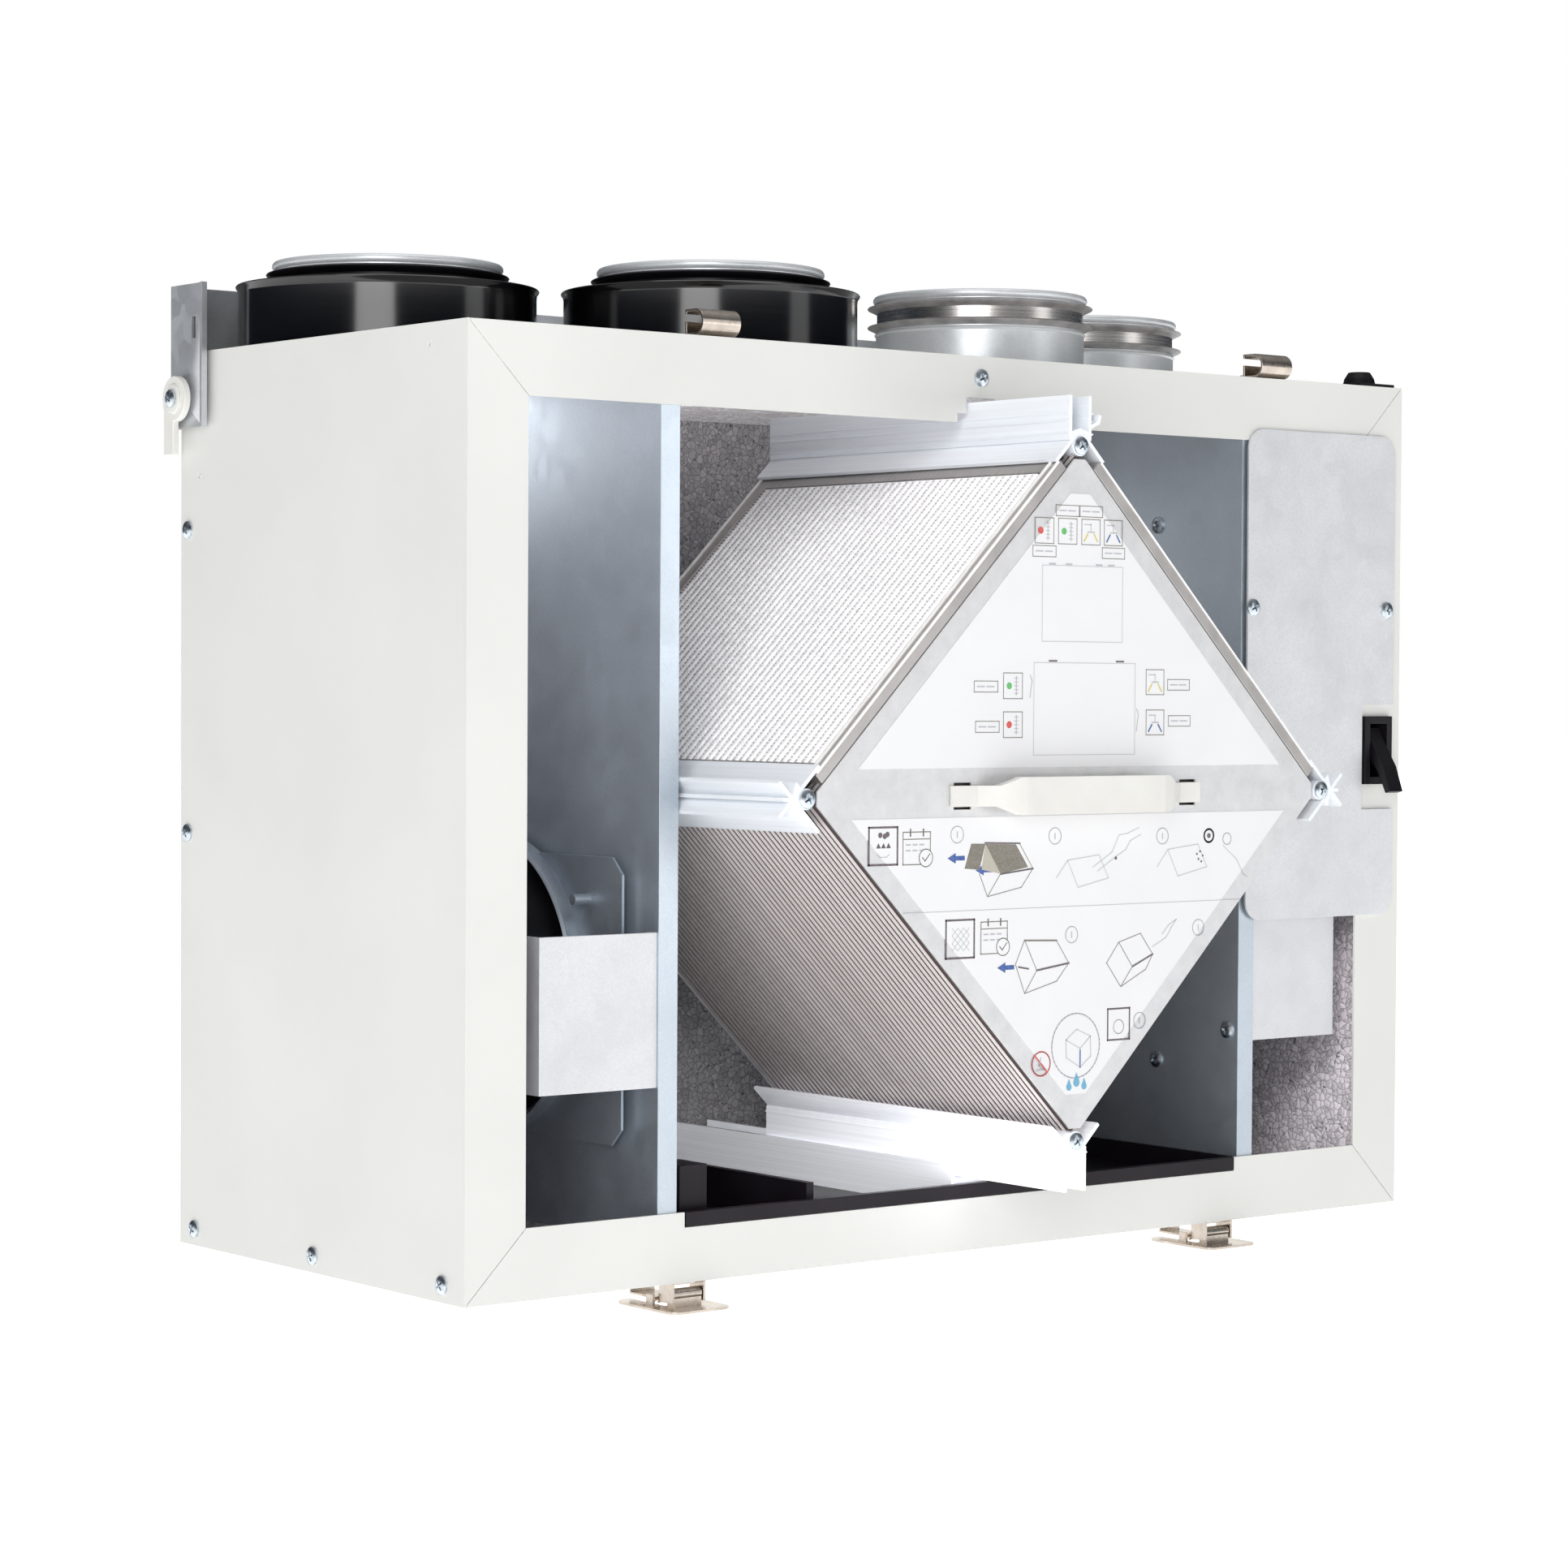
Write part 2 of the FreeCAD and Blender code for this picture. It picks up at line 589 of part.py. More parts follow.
def door_catch_bezel():
    """The black frame of the door catch, let into the right flange."""
    x0, x1, z0, z1 = BEZEL
    face = box(x0, x1, -3.0, 0, z0, z1)
    rim = BEZEL_RIM
    well = box(x0 + 2, x1 - 2, 0, BEZEL_WELL, z0 + 2, z1 - 2)
    mouth = box(x0 + rim, x1 - rim, -4, BEZEL_WELL - 2, z0 + rim, z1 - rim)
    low_gap = box(x0 + rim, x1 - rim, -4, -0.5, z0 - 1, z0 + 6)
    pin = rod(V(x0 + 3, *TONGUE_PIN), X_AXIS, TONGUE_PIN_R, x1 - x0 - 6)
    return fuse([fuse([face, well]).cut([mouth, low_gap]), pin])


def door_catch_tongue():
    """A curved strap hung on the bezel's pin, standing out and down."""
    inner = [(2, 289), (8, 288), (8, 281), (3, 276), (-8, 262), (-14, 250)]
    outer = [(-17.5, 251), (-12, 266), (-2, 281)]
    body = prism_yz(inner + outer, BEZEL[0] + 6, BEZEL[1] - 6)
    bore = rod(V(BEZEL[0], *TONGUE_PIN), X_AXIS, TONGUE_PIN_R + PIN_FIT, 40)
    return body.cut(bore)


def cable_gland():
    """A square-flanged plug with a bore for the mains cable."""
    x, y = GLAND
    half = GLAND_HALF
    flange = box(x - half, x + half, y - half, y + half, HEIGHT, HEIGHT + 2.0)
    knob = turned([(0, 0), (10, 0), (9, 4), (6.5, 8), (0, 8)], V(x, y, HEIGHT + 1.5), Z_AXIS)
    neck = rod(V(x, y, CEILING), Z_AXIS, GLAND_HOLE_R - 0.2, HEIGHT - CEILING + 1)
    bore = rod(V(x, y, CEILING - 1), Z_AXIS, GLAND_BORE_R, 50)
    return fuse([flange, knob, neck]).cut(bore)


# ---------------------------------------------------------------- spigots
def spigot(x, y):
    """A duct collar with a beaded wall and a bevelled top edge."""
    inner = SPIGOT_R - SPIGOT_WALL
    outline = [
        (inner, 0),
        (SPIGOT_R + SPIGOT_FOOT, 0),
        (SPIGOT_R + SPIGOT_FOOT, SPIGOT_WALL),
        (SPIGOT_R, SPIGOT_WALL),
        (SPIGOT_R, 22),
        (SPIGOT_R + SPIGOT_BEAD, 23.5),
        (SPIGOT_R, 25),
        (SPIGOT_R, SPIGOT_TALL - 4),
        (SPIGOT_R + SPIGOT_BEAD, SPIGOT_TALL - 3.5),
        (SPIGOT_R + 1.0, SPIGOT_TALL - 1.0),
        (SPIGOT_R, SPIGOT_TALL),
        (inner, SPIGOT_TALL),
    ]
    return turned(outline, V(x, y, HEIGHT), Z_AXIS)


def spigot_seals():
    """Two thin lip rings on each of the four spigots."""
    rings = []
    for _, x, y in SPIGOTS:
        for height in LIP_HEIGHTS:
            outline = [(SPIGOT_R, -1.6), (LIP_R, -0.5), (LIP_R, 0.3), (SPIGOT_R, 1.0)]
            rings.append(turned(outline, V(x, y, HEIGHT + height), Z_AXIS))
    return Part.makeCompound(rings)


def sleeve(x, y):
    """A glossy collar round a cold-side spigot, with a flared rim and an inner ring."""
    bore = SLEEVE_R - SLEEVE_WALL
    inner = SPIGOT_R + SLEEVE_INNER_GAP
    outline = [
        (inner, SLEEVE_TALL - 6),
        (bore, SLEEVE_TALL - 6),
        (bore, SLEEVE_TALL),
        (SLEEVE_R + SLEEVE_FLARE, SLEEVE_TALL),
        (SLEEVE_R, SLEEVE_TALL - 3),
        (SLEEVE_R, 0),
        (bore, 0),
        (bore, SLEEVE_TALL - 9),
        (inner, SLEEVE_TALL - 9),
    ]
    return turned(outline, V(x, y, HEIGHT), Z_AXIS)


# ---------------------------------------------------------------- exchanger
def diamond(reach):
    """The corners of a square standing on its edge, reach being the half diagonal."""
    return [(0, CORE_Z + reach), (reach, CORE_Z), (0, CORE_Z - reach), (-reach, CORE_Z)]


def corner_clear(half_width, y0, y1, limit):
    """Four blocks that take the corners off a diamond beyond limit."""
    far = CORNER + 20
    blocks = [box(-far, -limit, y0, y1, CORE_Z - half_width, CORE_Z + half_width)]
    blocks.append(box(limit, far, y0, y1, CORE_Z - half_width, CORE_Z + half_width))
    blocks.append(box(-half_width, half_width, y0, y1, CORE_Z + limit, CORE_Z + far))
    blocks.append(box(-half_width, half_width, y0, y1, CORE_Z - far, CORE_Z - limit))
    return blocks


def exchanger_core():
    y0 = BLOCK_FRONT + END_PLATE
    y1 = BLOCK_BACK - END_PLATE
    block = prism_xz(diamond((FACE - 2) * ROOT2), y0, y1)
    return block.cut(corner_clear(12, y0 - 1, y1 + 1, CORNER - 13))


def exchanger_plate(y0):
    plate = prism_xz(diamond(FACE * ROOT2), y0, y0 + END_PLATE)
    return plate.cut(corner_clear(14, y0 - 1, y0 + 3, CORNER - 7))


def exchanger_front_plate():
    z0 = STRAP_Z - HANDLE_SLOT_HALF
    z1 = STRAP_Z + HANDLE_SLOT_HALF
    slots = [box(a, b, BLOCK_FRONT - 1, BLOCK_FRONT + 3, z0, z1) for a, b in HANDLE_SLOTS]
    return exchanger_plate(BLOCK_FRONT).cut(slots)


def exchanger_back_plate():
    return exchanger_plate(BLOCK_BACK - END_PLATE)


def profile_section(lines):
    """A white corner extrusion pointing up, its screw boss at the origin, made of straight walls."""
    y0 = BLOCK_FRONT
    y1 = BLOCK_BACK
    walls = [prism_xz(strip(p0, p1, LIP_THICK), y0, y1) for p0, p1 in lines]
    boss = rod(V(0, y0, 0), Y_AXIS, BOSS_R, BLOCK_LENGTH)
    core = prism_xz([(0, -2.5), (9, 6.5), (0, 9.5), (-9, 6.5)], y0, y1)
    screw_hole = rod(V(0, y0 - 1, 0), Y_AXIS, SHANK_R, 14)
    rear_hole = rod(V(0, y1 - 13, 0), Y_AXIS, SHANK_R, 14)
    return fuse(walls + [boss, core]).cut([screw_hole, rear_hole])


def placed_profile(lines, turn):
    """A profile turned about the block's axis to its corner: 0 top, 90 right, 180 bottom, 270 left."""
    shape = profile_section(lines)
    shape.translate(V(0, 0, CORNER))
    shape.rotate(V(0, 0, 0), Y_AXIS, turn)
    shape.translate(V(0, 0, CORE_Z))
    return shape


def exchanger_screws():
    screws = []
    for x, z in ((0, CORNER), (CORNER, 0), (0, -CORNER), (-CORNER, 0)):
        screws.append(pan_screw(x, BLOCK_FRONT, CORE_Z + z, Y_AXIS * -1, 12))
        screws.append(pan_screw(x, BLOCK_BACK, CORE_Z + z, Y_AXIS, 12))
    return Part.makeCompound(screws)


def handle_strap():
    """A flexible strap handle: a thick grip held off the plate, its thin ends through two slots."""
    y0 = BLOCK_FRONT
    grip_y = y0 - GRIP_REACH
    outline = [(-91, y0 - 3), (-74, y0 - 3), (-58, grip_y), (-50, grip_y - 2), (50, grip_y - 2), (58, grip_y)]
    outline += [(74, y0 - 3), (89, y0 - 3), (89, y0 - 0.4), (72, y0 - 0.4), (56, grip_y + 4)]
    outline += [(-56, grip_y + 4), (-72, y0 - 0.4), (-91, y0 - 0.4)]
    corners = [V(x, y, STRAP_Z - STRAP_HALF) for x, y in outline]
    body = Part.Face(Part.makePolygon(corners + corners[:1])).extrude(V(0, 0, 2 * STRAP_HALF))
    grip = STRAP_HALF - 0.1
    beyond = STRAP_HALF + 1
    slope = [(54, beyond), (54, grip), (64, STRAP_END_HALF), (95, STRAP_END_HALF), (95, beyond)]
    trims = []
    for side in (-1, 1):
        for upper in (-1, 1):
            corner = [(side * x, STRAP_Z + upper * z) for x, z in slope]
            trims.append(prism_xz(corner, y0 - 20, y0 + 5))
    z0 = STRAP_Z - STRAP_END_HALF
    z1 = STRAP_Z + STRAP_END_HALF
    feet = [box(a + 2, b - 2, y0 - 1, y0 + END_PLATE, z0, z1) for a, b in HANDLE_SLOTS]
    return fuse([body.cut(trims)] + feet)


def label(sign, edge):
    """A triangular label on the front plate; sign 1 is the upper one."""
    reach = (FACE - LABEL_INSET) * ROOT2
    half = reach - abs(edge - CORE_Z)
    tip = CORE_Z + sign * (reach - LABEL_TIP_HALF)
    points = [(-half, edge), (half, edge), (LABEL_TIP_HALF, tip), (-LABEL_TIP_HALF, tip)]
    return prism_xz(points, BLOCK_FRONT - LABEL_THICK, BLOCK_FRONT)


# ---------------------------------------------------------------- filters
def on_face(u0, u1, y0, y1, d0, d1):
    """A slab on the upper right face: u runs down the face from its top edge, d is out from the axis."""
    slab = box(u0, u1, y0, y1, d0, d1)
    slab.rotate(V(0, 0, 0), Y_AXIS, 45)
    along = FACE + FILTER_GAP
    shift = V(-along / ROOT2, 0, along / ROOT2)
    slab.translate(shift + V(0, 0, CORE_Z))
    return slab


def filter_frame():
    d0 = FACE + FILTER_GAP
    d1 = d0 + FILTER_THICK
    u0 = FILTER_START
    u1 = FACE_RUN - FILTER_END
    y0 = BLOCK_FRONT
    y1 = BLOCK_BACK - 2
    bar = FILTER_BAR
    outer = on_face(u0, u1, y0, y1, d0, d1)
    window = on_face(u0 + bar, u1 - bar, y0 + bar, y1 - bar, d0 - 1, d1 + 1)
    return outer.cut(window)


def filter_media():
    d0 = FACE + FILTER_GAP
    d1 = d0 + FILTER_THICK - 1.5
    u0 = FILTER_START + FILTER_BAR
    u1 = FACE_RUN - FILTER_END - FILTER_BAR
    return on_face(u0, u1, BLOCK_FRONT + FILTER_BAR, BLOCK_BACK - 2 - FILTER_BAR, d0 + 1, d1)


# ---------------------------------------------------------------- catches and latches
def top_catches():
    """Fixed hooks over the front edge: a riveted base plate whose end is rolled into a tube."""
    pieces = []
    for middle in CATCH_X:
        x0 = middle - CATCH_WIDE / 2
        x1 = middle + CATCH_WIDE / 2
        axis_z = HEIGHT + CATCH_UP
        inner = CATCH_R - CATCH_SHEET
        base = box(x0 + 2, x1 - 2, 8, 47, HEIGHT, HEIGHT + SHEET)
        roll = rod(V(x0, CATCH_Y, axis_z), X_AXIS, CATCH_R, CATCH_WIDE)
        roll = roll.fuse(box(x0, x1, CATCH_Y, 15, axis_z - CATCH_R, axis_z + CATCH_R))
        void = rod(V(x0 - 1, CATCH_Y, axis_z), X_AXIS, inner, CATCH_WIDE + 2)
        void = void.fuse(box(x0 - 1, x1 + 1, CATCH_Y, 15 - CATCH_SHEET, axis_z - inner, axis_z + inner))
        mouth = box(x0 - 1, x1 + 1, 10, 16, HEIGHT + 8, HEIGHT + 12)
        dome = [(0, 0), (4, 0), (3, 1.8), (0, 2.4)]
        rivets = [turned(dome, V(middle, y, HEIGHT + SHEET), Z_AXIS) for y in (26, 40)]
        pieces.append(fuse([base, roll.cut([void, mouth])] + rivets))
    return Part.makeCompound(pieces)


def latch_bases():
    """Toggle latch bases under the bottom plate, each with two ears and a pivot pin."""
    pieces = []
    for middle in LATCH_X:
        x0 = middle - LATCH_HALF
        x1 = middle + LATCH_HALF
        base = box(x0, x1, 4, 46, -SHEET, 0)
        ears = [box(x, x + EAR, LEVER_PIVOT_Y - 4, 12, LEVER_PIVOT_Z - 4, 0) for x in (x0, x1 - EAR)]
        pin = rod(V(x0, LEVER_PIVOT_Y, LEVER_PIVOT_Z), X_AXIS, LEVER_PIN_R, 2 * LATCH_HALF)
        dome = [(0, 0), (3.5, 0), (2.5, 1.6), (0, 2.0)]
        rivets = [turned(dome, V(middle, y, -SHEET), Z_AXIS * -1) for y in (28, 40)]
        pieces.append(fuse([base, pin] + ears + rivets))
    return Part.makeCompound(pieces)


def latch_lever(middle):
    """The lever, hanging open: a dished plate under the base, with a barrel on the pivot pin."""
    low = LEVER_LOW
    top = LEVER_LOW + LEVER_THICK
    neck_half = LATCH_HALF - 2
    cheek = neck_half + 5
    barrel = rod(V(middle - neck_half, LEVER_PIVOT_Y, LEVER_PIVOT_Z), X_AXIS, LEVER_BARREL_R, 2 * neck_half)
    plate = box(middle - LEVER_HALF, middle + LEVER_HALF, -13, 40, low, top)
    corners = [e for e in plate.Edges if abs(e.tangentAt(e.FirstParameter).z) > 0.9]
    slot = box(middle - neck_half, middle + neck_half, 9, 41, low - 1, top + 1)
    plate = plate.makeFillet(LEVER_ROUND, corners).cut(slot)
    y0 = LEVER_PIVOT_Y - 3
    neck = box(middle - neck_half, middle + neck_half, y0, y0 + 6, top - 0.2, LEVER_PIVOT_Z - 1)
    y0 = HOOK_PIN_Y - 3
    starts = (middle - cheek, middle + cheek - EAR)
    cheeks = [box(x, x + EAR, y0, y0 + 6, top - 0.2, HOOK_PIN_Z + 3) for x in starts]
    pin = rod(V(middle - cheek, HOOK_PIN_Y, HOOK_PIN_Z), X_AXIS, HOOK_PIN_R, 2 * cheek)
    bore = rod(V(middle - 12, LEVER_PIVOT_Y, LEVER_PIVOT_Z), X_AXIS, LEVER_PIN_R + PIN_FIT, 24)
    return fuse([barrel, plate, neck, pin] + cheeks).cut(bore)


def latch_hook(middle):
    """The claw that pulls on the door's keeper: a folded plate hinged on the lever."""
    x0 = middle - HOOK_HALF
    x1 = middle + HOOK_HALF
    tip = HOOK_PIN_Y + HOOK_REACH
    low = HOOK_PIN_Z - 0.5
    barrel = rod(V(x0, HOOK_PIN_Y, HOOK_PIN_Z), X_AXIS, HOOK_BARREL_R, 2 * HOOK_HALF)
    blade = box(x0, x1, HOOK_PIN_Y + 1, tip, low, low + 1.2)
    claw = box(x0, x1, tip - 1.2, tip, low, HOOK_PIN_Z + 5)
    bore = rod(V(middle - 12, HOOK_PIN_Y, HOOK_PIN_Z), X_AXIS, HOOK_PIN_R + PIN_FIT, 24)
    return fuse([barrel, blade, claw]).cut(bore)


# ---------------------------------------------------------------- wall rail
def wall_rail():
    """A full-width plate on the wall, its ends turned forward past the casing's sides."""
    plate = box(-RAIL_HALF, RAIL_HALF, WALL_Y - RAIL_SHEET, WALL_Y, RAIL_LOW, RAIL_TOP)
    shelf = box(-HALF + 20, HALF - 20, DEPTH, WALL_Y, RAIL_LOW, RAIL_LOW + RAIL_SHEET)
    hem_back = RAIL_END_Y + 2.2
    ends = []
    tools = []
    for side in (-1, 1):
        outer = side * RAIL_HALF
        low = min(outer, outer - side * RAIL_SHEET)
        ends.append(box(low, low + RAIL_SHEET, RAIL_END_Y, WALL_Y, RAIL_END_LOW, RAIL_TOP))
        hem = min(outer, outer + side * HEM)
        ends.append(box(hem, hem + HEM, RAIL_END_Y, hem_back, RAIL_END_LOW, RAIL_TOP))
        tools.append(rod(V(side * HOLE_SPACING / 2, DEPTH - 5, HOLE_Z), Y_AXIS, HOLE_R, 20))
        tools.append(box(outer - 5, outer + 5, 261, 265, 502, 514))
        tools.append(box(outer - 8, outer + 8, WALL_Y - 10, WALL_Y + 1, RAIL_LOW - 1, RAIL_END_LOW))
        tools.append(rod(V(outer - 10, DISC_Y, DISC_Z), X_AXIS, SHANK_R, 20))
    return cut(fuse([plate, shelf] + ends), tools)


def lock_disc():
    """The left locking disc: a white washer with a tail, turned by hand about its screw."""
    x0 = -RAIL_HALF - DISC_GAP - DISC_THICK
    disc = rod(V(x0, DISC_Y, DISC_Z), X_AXIS, DISC_R, DISC_THICK)
    tail = box(x0, x0 + DISC_THICK, DISC_Y + 0.5, DISC_Y + 11, DISC_Z - 31, DISC_Z)
    hub = rod(V(x0 - HUB_TALL, DISC_Y, DISC_Z), X_AXIS, DISC_HUB_R, 2)
    overlap = 0.5
    inner_face = x0 + DISC_THICK - overlap
    seat = rod(V(inner_face, DISC_Y, DISC_Z), X_AXIS, DISC_SEAT_R, DISC_GAP + overlap - FIT)
    bore = rod(V(x0 - 3, DISC_Y, DISC_Z), X_AXIS, SHANK_R + PIN_FIT, 12)
    return fuse([disc, tail, hub, seat]).cut(bore)


def casing_screws():
    screws = [pan_screw(x, y, z, X_AXIS * -1, BLIND) for x, y, z in SIDE_SCREWS]
    screws.append(pan_screw(*FLANGE_SCREW, Y_AXIS * -1, BLIND))
    screws += [pan_screw(x, COVER_FRONT, z, Y_AXIS * -1, COVER_SCREW_BLIND) for x, z in COVER_SCREWS]
    screws += [pan_screw(BAY_HALF, y, z, X_AXIS * -1, BLIND) for y, z in PARTITION_SCREWS]
    x = RAIL_HALF + LOCK_STACK + FIT
    lock = pan_screw(-x, DISC_Y, DISC_Z, X_AXIS * -1, x - RAIL_HALF + RAIL_SHEET)
    return Part.makeCompound(screws + [lock, mirrored(lock)])


def build():
    os.makedirs("parts", exist_ok=True)
    save("casing_left_side", casing_left_side())
    save("casing_right_side", casing_right_side())
    save("casing_top", casing_top())
    save("casing_bottom", casing_bottom())
    save("casing_back", casing_back())
    save("insulation_ceiling", insulation_ceiling())
    save("insulation_floor", insulation_floor())
    save("insulation_back", insulation_back())
    save("insulation_sides", insulation_sides())
    save("left_partition", left_partition())
    save("right_partition", right_partition())
    save("drip_tray", drip_tray())
    save("guide_rail", guide_rail())
    for piece, make in (
        ("plate", fan_plate),
        ("shroud", fan_shroud),
        ("motor", fan_motor),
        ("impeller", fan_impeller),
    ):
        shape = make()
        save("supply_fan_" + piece, shape)
        save("exhaust_fan_" + piece, mirrored(shape))
    save("left_terminal_cover", left_terminal_cover())
    save("electronics_box", electronics_box())
    save("circuit_board", circuit_board())
    save("electronics_cover", electronics_cover())
    save("door_catch_bezel", door_catch_bezel())
    save("door_catch_tongue", door_catch_tongue())
    save("cable_gland", cable_gland())
    for name, x, y in SPIGOTS:
        save(name, spigot(x, y))
    save("spigot_seals", spigot_seals())
    for name, x, y in SPIGOTS[:2]:
        save(name.replace("spigot", "sleeve"), sleeve(x, y))
    save("exchanger_core", exchanger_core())
    save("exchanger_front_plate", exchanger_front_plate())
    save("exchanger_back_plate", exchanger_back_plate())
    save("top_profile", placed_profile(LIP_LINES + FIN_LINES + HOOK_LINES, 0))
    save("right_profile", placed_profile(LIP_LINES + WING_LINES, 90))
    save("bottom_profile", placed_profile(LIP_LINES + FIN_LINES, 180))
    save("left_profile", placed_profile(LIP_LINES + WING_LINES, 270))
    save("exchanger_screws", exchanger_screws())
    save("handle_strap", handle_strap())
    save("upper_label", label(1, STRIP_HIGH))
    save("lower_label", label(-1, STRIP_LOW))
    frame = filter_frame()
    media = filter_media()
    save("right_filter_frame", frame)
    save("right_filter_media", media)
    save("left_filter_frame", mirrored(frame))
    save("left_filter_media", mirrored(media))
    save("top_catches", top_catches())
    save("latch_bases", latch_bases())
    for side, middle in zip(("left", "right"), LATCH_X):
        save(side + "_latch_lever", latch_lever(middle))
        save(side + "_latch_hook", latch_hook(middle))
    save("wall_rail", wall_rail())
    disc = lock_disc()
    save("left_lock_disc", disc)
    save("right_lock_disc", mirrored(disc))
    save("casing_screws", casing_screws())


build()
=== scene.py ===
"""Heat recovery unit with its door off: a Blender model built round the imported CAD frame."""

import json
import math
from functools import partial

import bmesh
import bpy
from mathutils import Matrix, Vector

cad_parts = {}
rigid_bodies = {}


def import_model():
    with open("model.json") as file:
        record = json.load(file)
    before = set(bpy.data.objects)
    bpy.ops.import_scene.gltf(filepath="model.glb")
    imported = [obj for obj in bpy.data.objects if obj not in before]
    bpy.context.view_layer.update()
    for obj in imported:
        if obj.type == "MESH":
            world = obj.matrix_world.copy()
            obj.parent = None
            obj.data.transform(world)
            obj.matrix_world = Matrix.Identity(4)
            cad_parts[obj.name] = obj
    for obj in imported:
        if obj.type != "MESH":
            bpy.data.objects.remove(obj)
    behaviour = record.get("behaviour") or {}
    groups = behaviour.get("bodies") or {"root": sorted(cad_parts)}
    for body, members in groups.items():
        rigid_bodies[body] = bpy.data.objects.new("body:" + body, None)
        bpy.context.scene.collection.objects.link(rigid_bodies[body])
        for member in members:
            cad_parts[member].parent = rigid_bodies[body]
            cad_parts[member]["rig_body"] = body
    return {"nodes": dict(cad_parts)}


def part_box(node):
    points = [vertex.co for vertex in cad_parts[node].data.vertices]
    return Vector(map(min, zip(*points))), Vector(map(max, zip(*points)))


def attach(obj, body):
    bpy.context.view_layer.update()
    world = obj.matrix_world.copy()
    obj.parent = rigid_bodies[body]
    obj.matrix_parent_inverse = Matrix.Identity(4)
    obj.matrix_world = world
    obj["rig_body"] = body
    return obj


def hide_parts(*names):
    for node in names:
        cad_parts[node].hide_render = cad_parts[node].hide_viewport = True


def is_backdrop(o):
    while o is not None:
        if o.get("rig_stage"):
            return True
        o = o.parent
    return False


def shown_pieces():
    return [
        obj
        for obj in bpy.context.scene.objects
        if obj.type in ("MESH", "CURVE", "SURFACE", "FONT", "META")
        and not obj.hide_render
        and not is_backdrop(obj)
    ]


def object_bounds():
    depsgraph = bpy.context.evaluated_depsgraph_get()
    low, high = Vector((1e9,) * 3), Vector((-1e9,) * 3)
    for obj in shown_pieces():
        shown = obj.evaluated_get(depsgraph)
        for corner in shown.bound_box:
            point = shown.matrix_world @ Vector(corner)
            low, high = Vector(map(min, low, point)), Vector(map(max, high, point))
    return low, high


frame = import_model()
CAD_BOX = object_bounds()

bl_info = {
    "name": "Heat recovery unit",
    "version": (1, 0, 0),
    "blender": (4, 5, 0),
    "location": "View3D > Sidebar > Heat unit",
    "description": "Builds the looks of a wall-hung heat recovery unit round its CAD frame",
    "category": "Object",
}

MM = 0.001
LATHE_STEPS = 96
PRINT_THICK = 0.02 * MM
Y_AXIS, Z_AXIS = Vector((0, 1, 0)), Vector((0, 0, 1))


# ---------------------------------------------------------------- sizes and colours a user would change
class CasingSettings(bpy.types.PropertyGroup):
    """Painted casing, lining and sheet metal."""

    paint_color: bpy.props.FloatVectorProperty(
        name="Paint", description="Colour of the powder coat", subtype="COLOR", size=3, min=0, max=1,
        default=(0.80, 0.80, 0.77),
    )
    fold_radius: bpy.props.FloatProperty(
        name="Fold radius", description="Rounding of the folded sheet edges", unit="LENGTH", min=0,
        default=0.7 * MM,
    )
    zinc_color: bpy.props.FloatVectorProperty(
        name="Galvanised sheet", description="Colour of the zinc coat", subtype="COLOR", size=3, min=0, max=1,
        default=(0.52, 0.58, 0.64),
    )
    foam_color: bpy.props.FloatVectorProperty(
        name="Foam", description="Colour of the bead foam lining", subtype="COLOR", size=3, min=0, max=1,
        default=(0.46, 0.44, 0.45),
    )
    bead_size: bpy.props.FloatProperty(
        name="Bead size", description="Width of one foam bead", unit="LENGTH", min=0.001, default=4.0 * MM
    )


class ExchangerSettings(bpy.types.PropertyGroup):
    """Plate stack and its filters."""

    plate_pitch: bpy.props.FloatProperty(
        name="Plate pitch", description="Distance between two folded plate pairs", unit="LENGTH", min=0.001,
        default=4.5 * MM,
    )
    plate_thick: bpy.props.FloatProperty(
        name="Plate thickness", description="Thickness of one plate with its hem", unit="LENGTH", min=0.0001,
        default=0.45 * MM,
    )
    mesh_along: bpy.props.FloatProperty(
        name="Rib pitch", description="Distance between two ribs of the filter mesh", unit="LENGTH", min=0.001,
        default=5.8 * MM,
    )
    mesh_down: bpy.props.FloatProperty(
        name="Wire pitch", description="Distance between two cross wires of the filter mesh", unit="LENGTH",
        min=0.001, default=2.3 * MM,
    )
    strand: bpy.props.FloatProperty(
        name="Wire", description="Width of one cross wire of the filter mesh", unit="LENGTH", min=0.0001,
        default=0.8 * MM,
    )
    core_color: bpy.props.FloatVectorProperty(
        name="Plates", description="Colour of the aluminium plates", subtype="COLOR", size=3, min=0, max=1,
        default=(0.74, 0.68, 0.67),
    )


class StageSettings(bpy.types.PropertyGroup):
    """Floor, lights and camera."""

    floor_drop: bpy.props.FloatProperty(
        name="Floor drop", description="Distance from the unit down to the floor", unit="LENGTH", default=0.9
    )
    key_power: bpy.props.FloatProperty(
        name="Key light", description="Power of the main softbox", subtype="POWER", default=31
    )
    bay_power: bpy.props.FloatProperty(
        name="Bay light", description="Power of the softbox that lights the open bays", subtype="POWER",
        default=85,
    )
    room_light: bpy.props.FloatProperty(
        name="Room light", description="Strength of the room's own light", min=0, default=0.42
    )
    lens: bpy.props.FloatProperty(
        name="Lens", description="Focal length of the camera in millimetres", default=88.66
    )


# ---------------------------------------------------------------- material helpers
def add_node(tree, kind, settings=None, **inputs):
    """A shader or geometry node with its settings made and its inputs set or linked."""
    made = tree.nodes.new(kind)
    for key, value in (settings or {}).items():
        setattr(made, key, value)
    for key, value in inputs.items():
        numbered = key[0] == "i" and key[1:].isdigit()
        socket = made.inputs[int(key[1:]) if numbered else key.replace("_", " ")]
        if isinstance(value, bpy.types.NodeSocket):
            tree.links.new(value, socket)
        else:
            socket.default_value = value
    return made


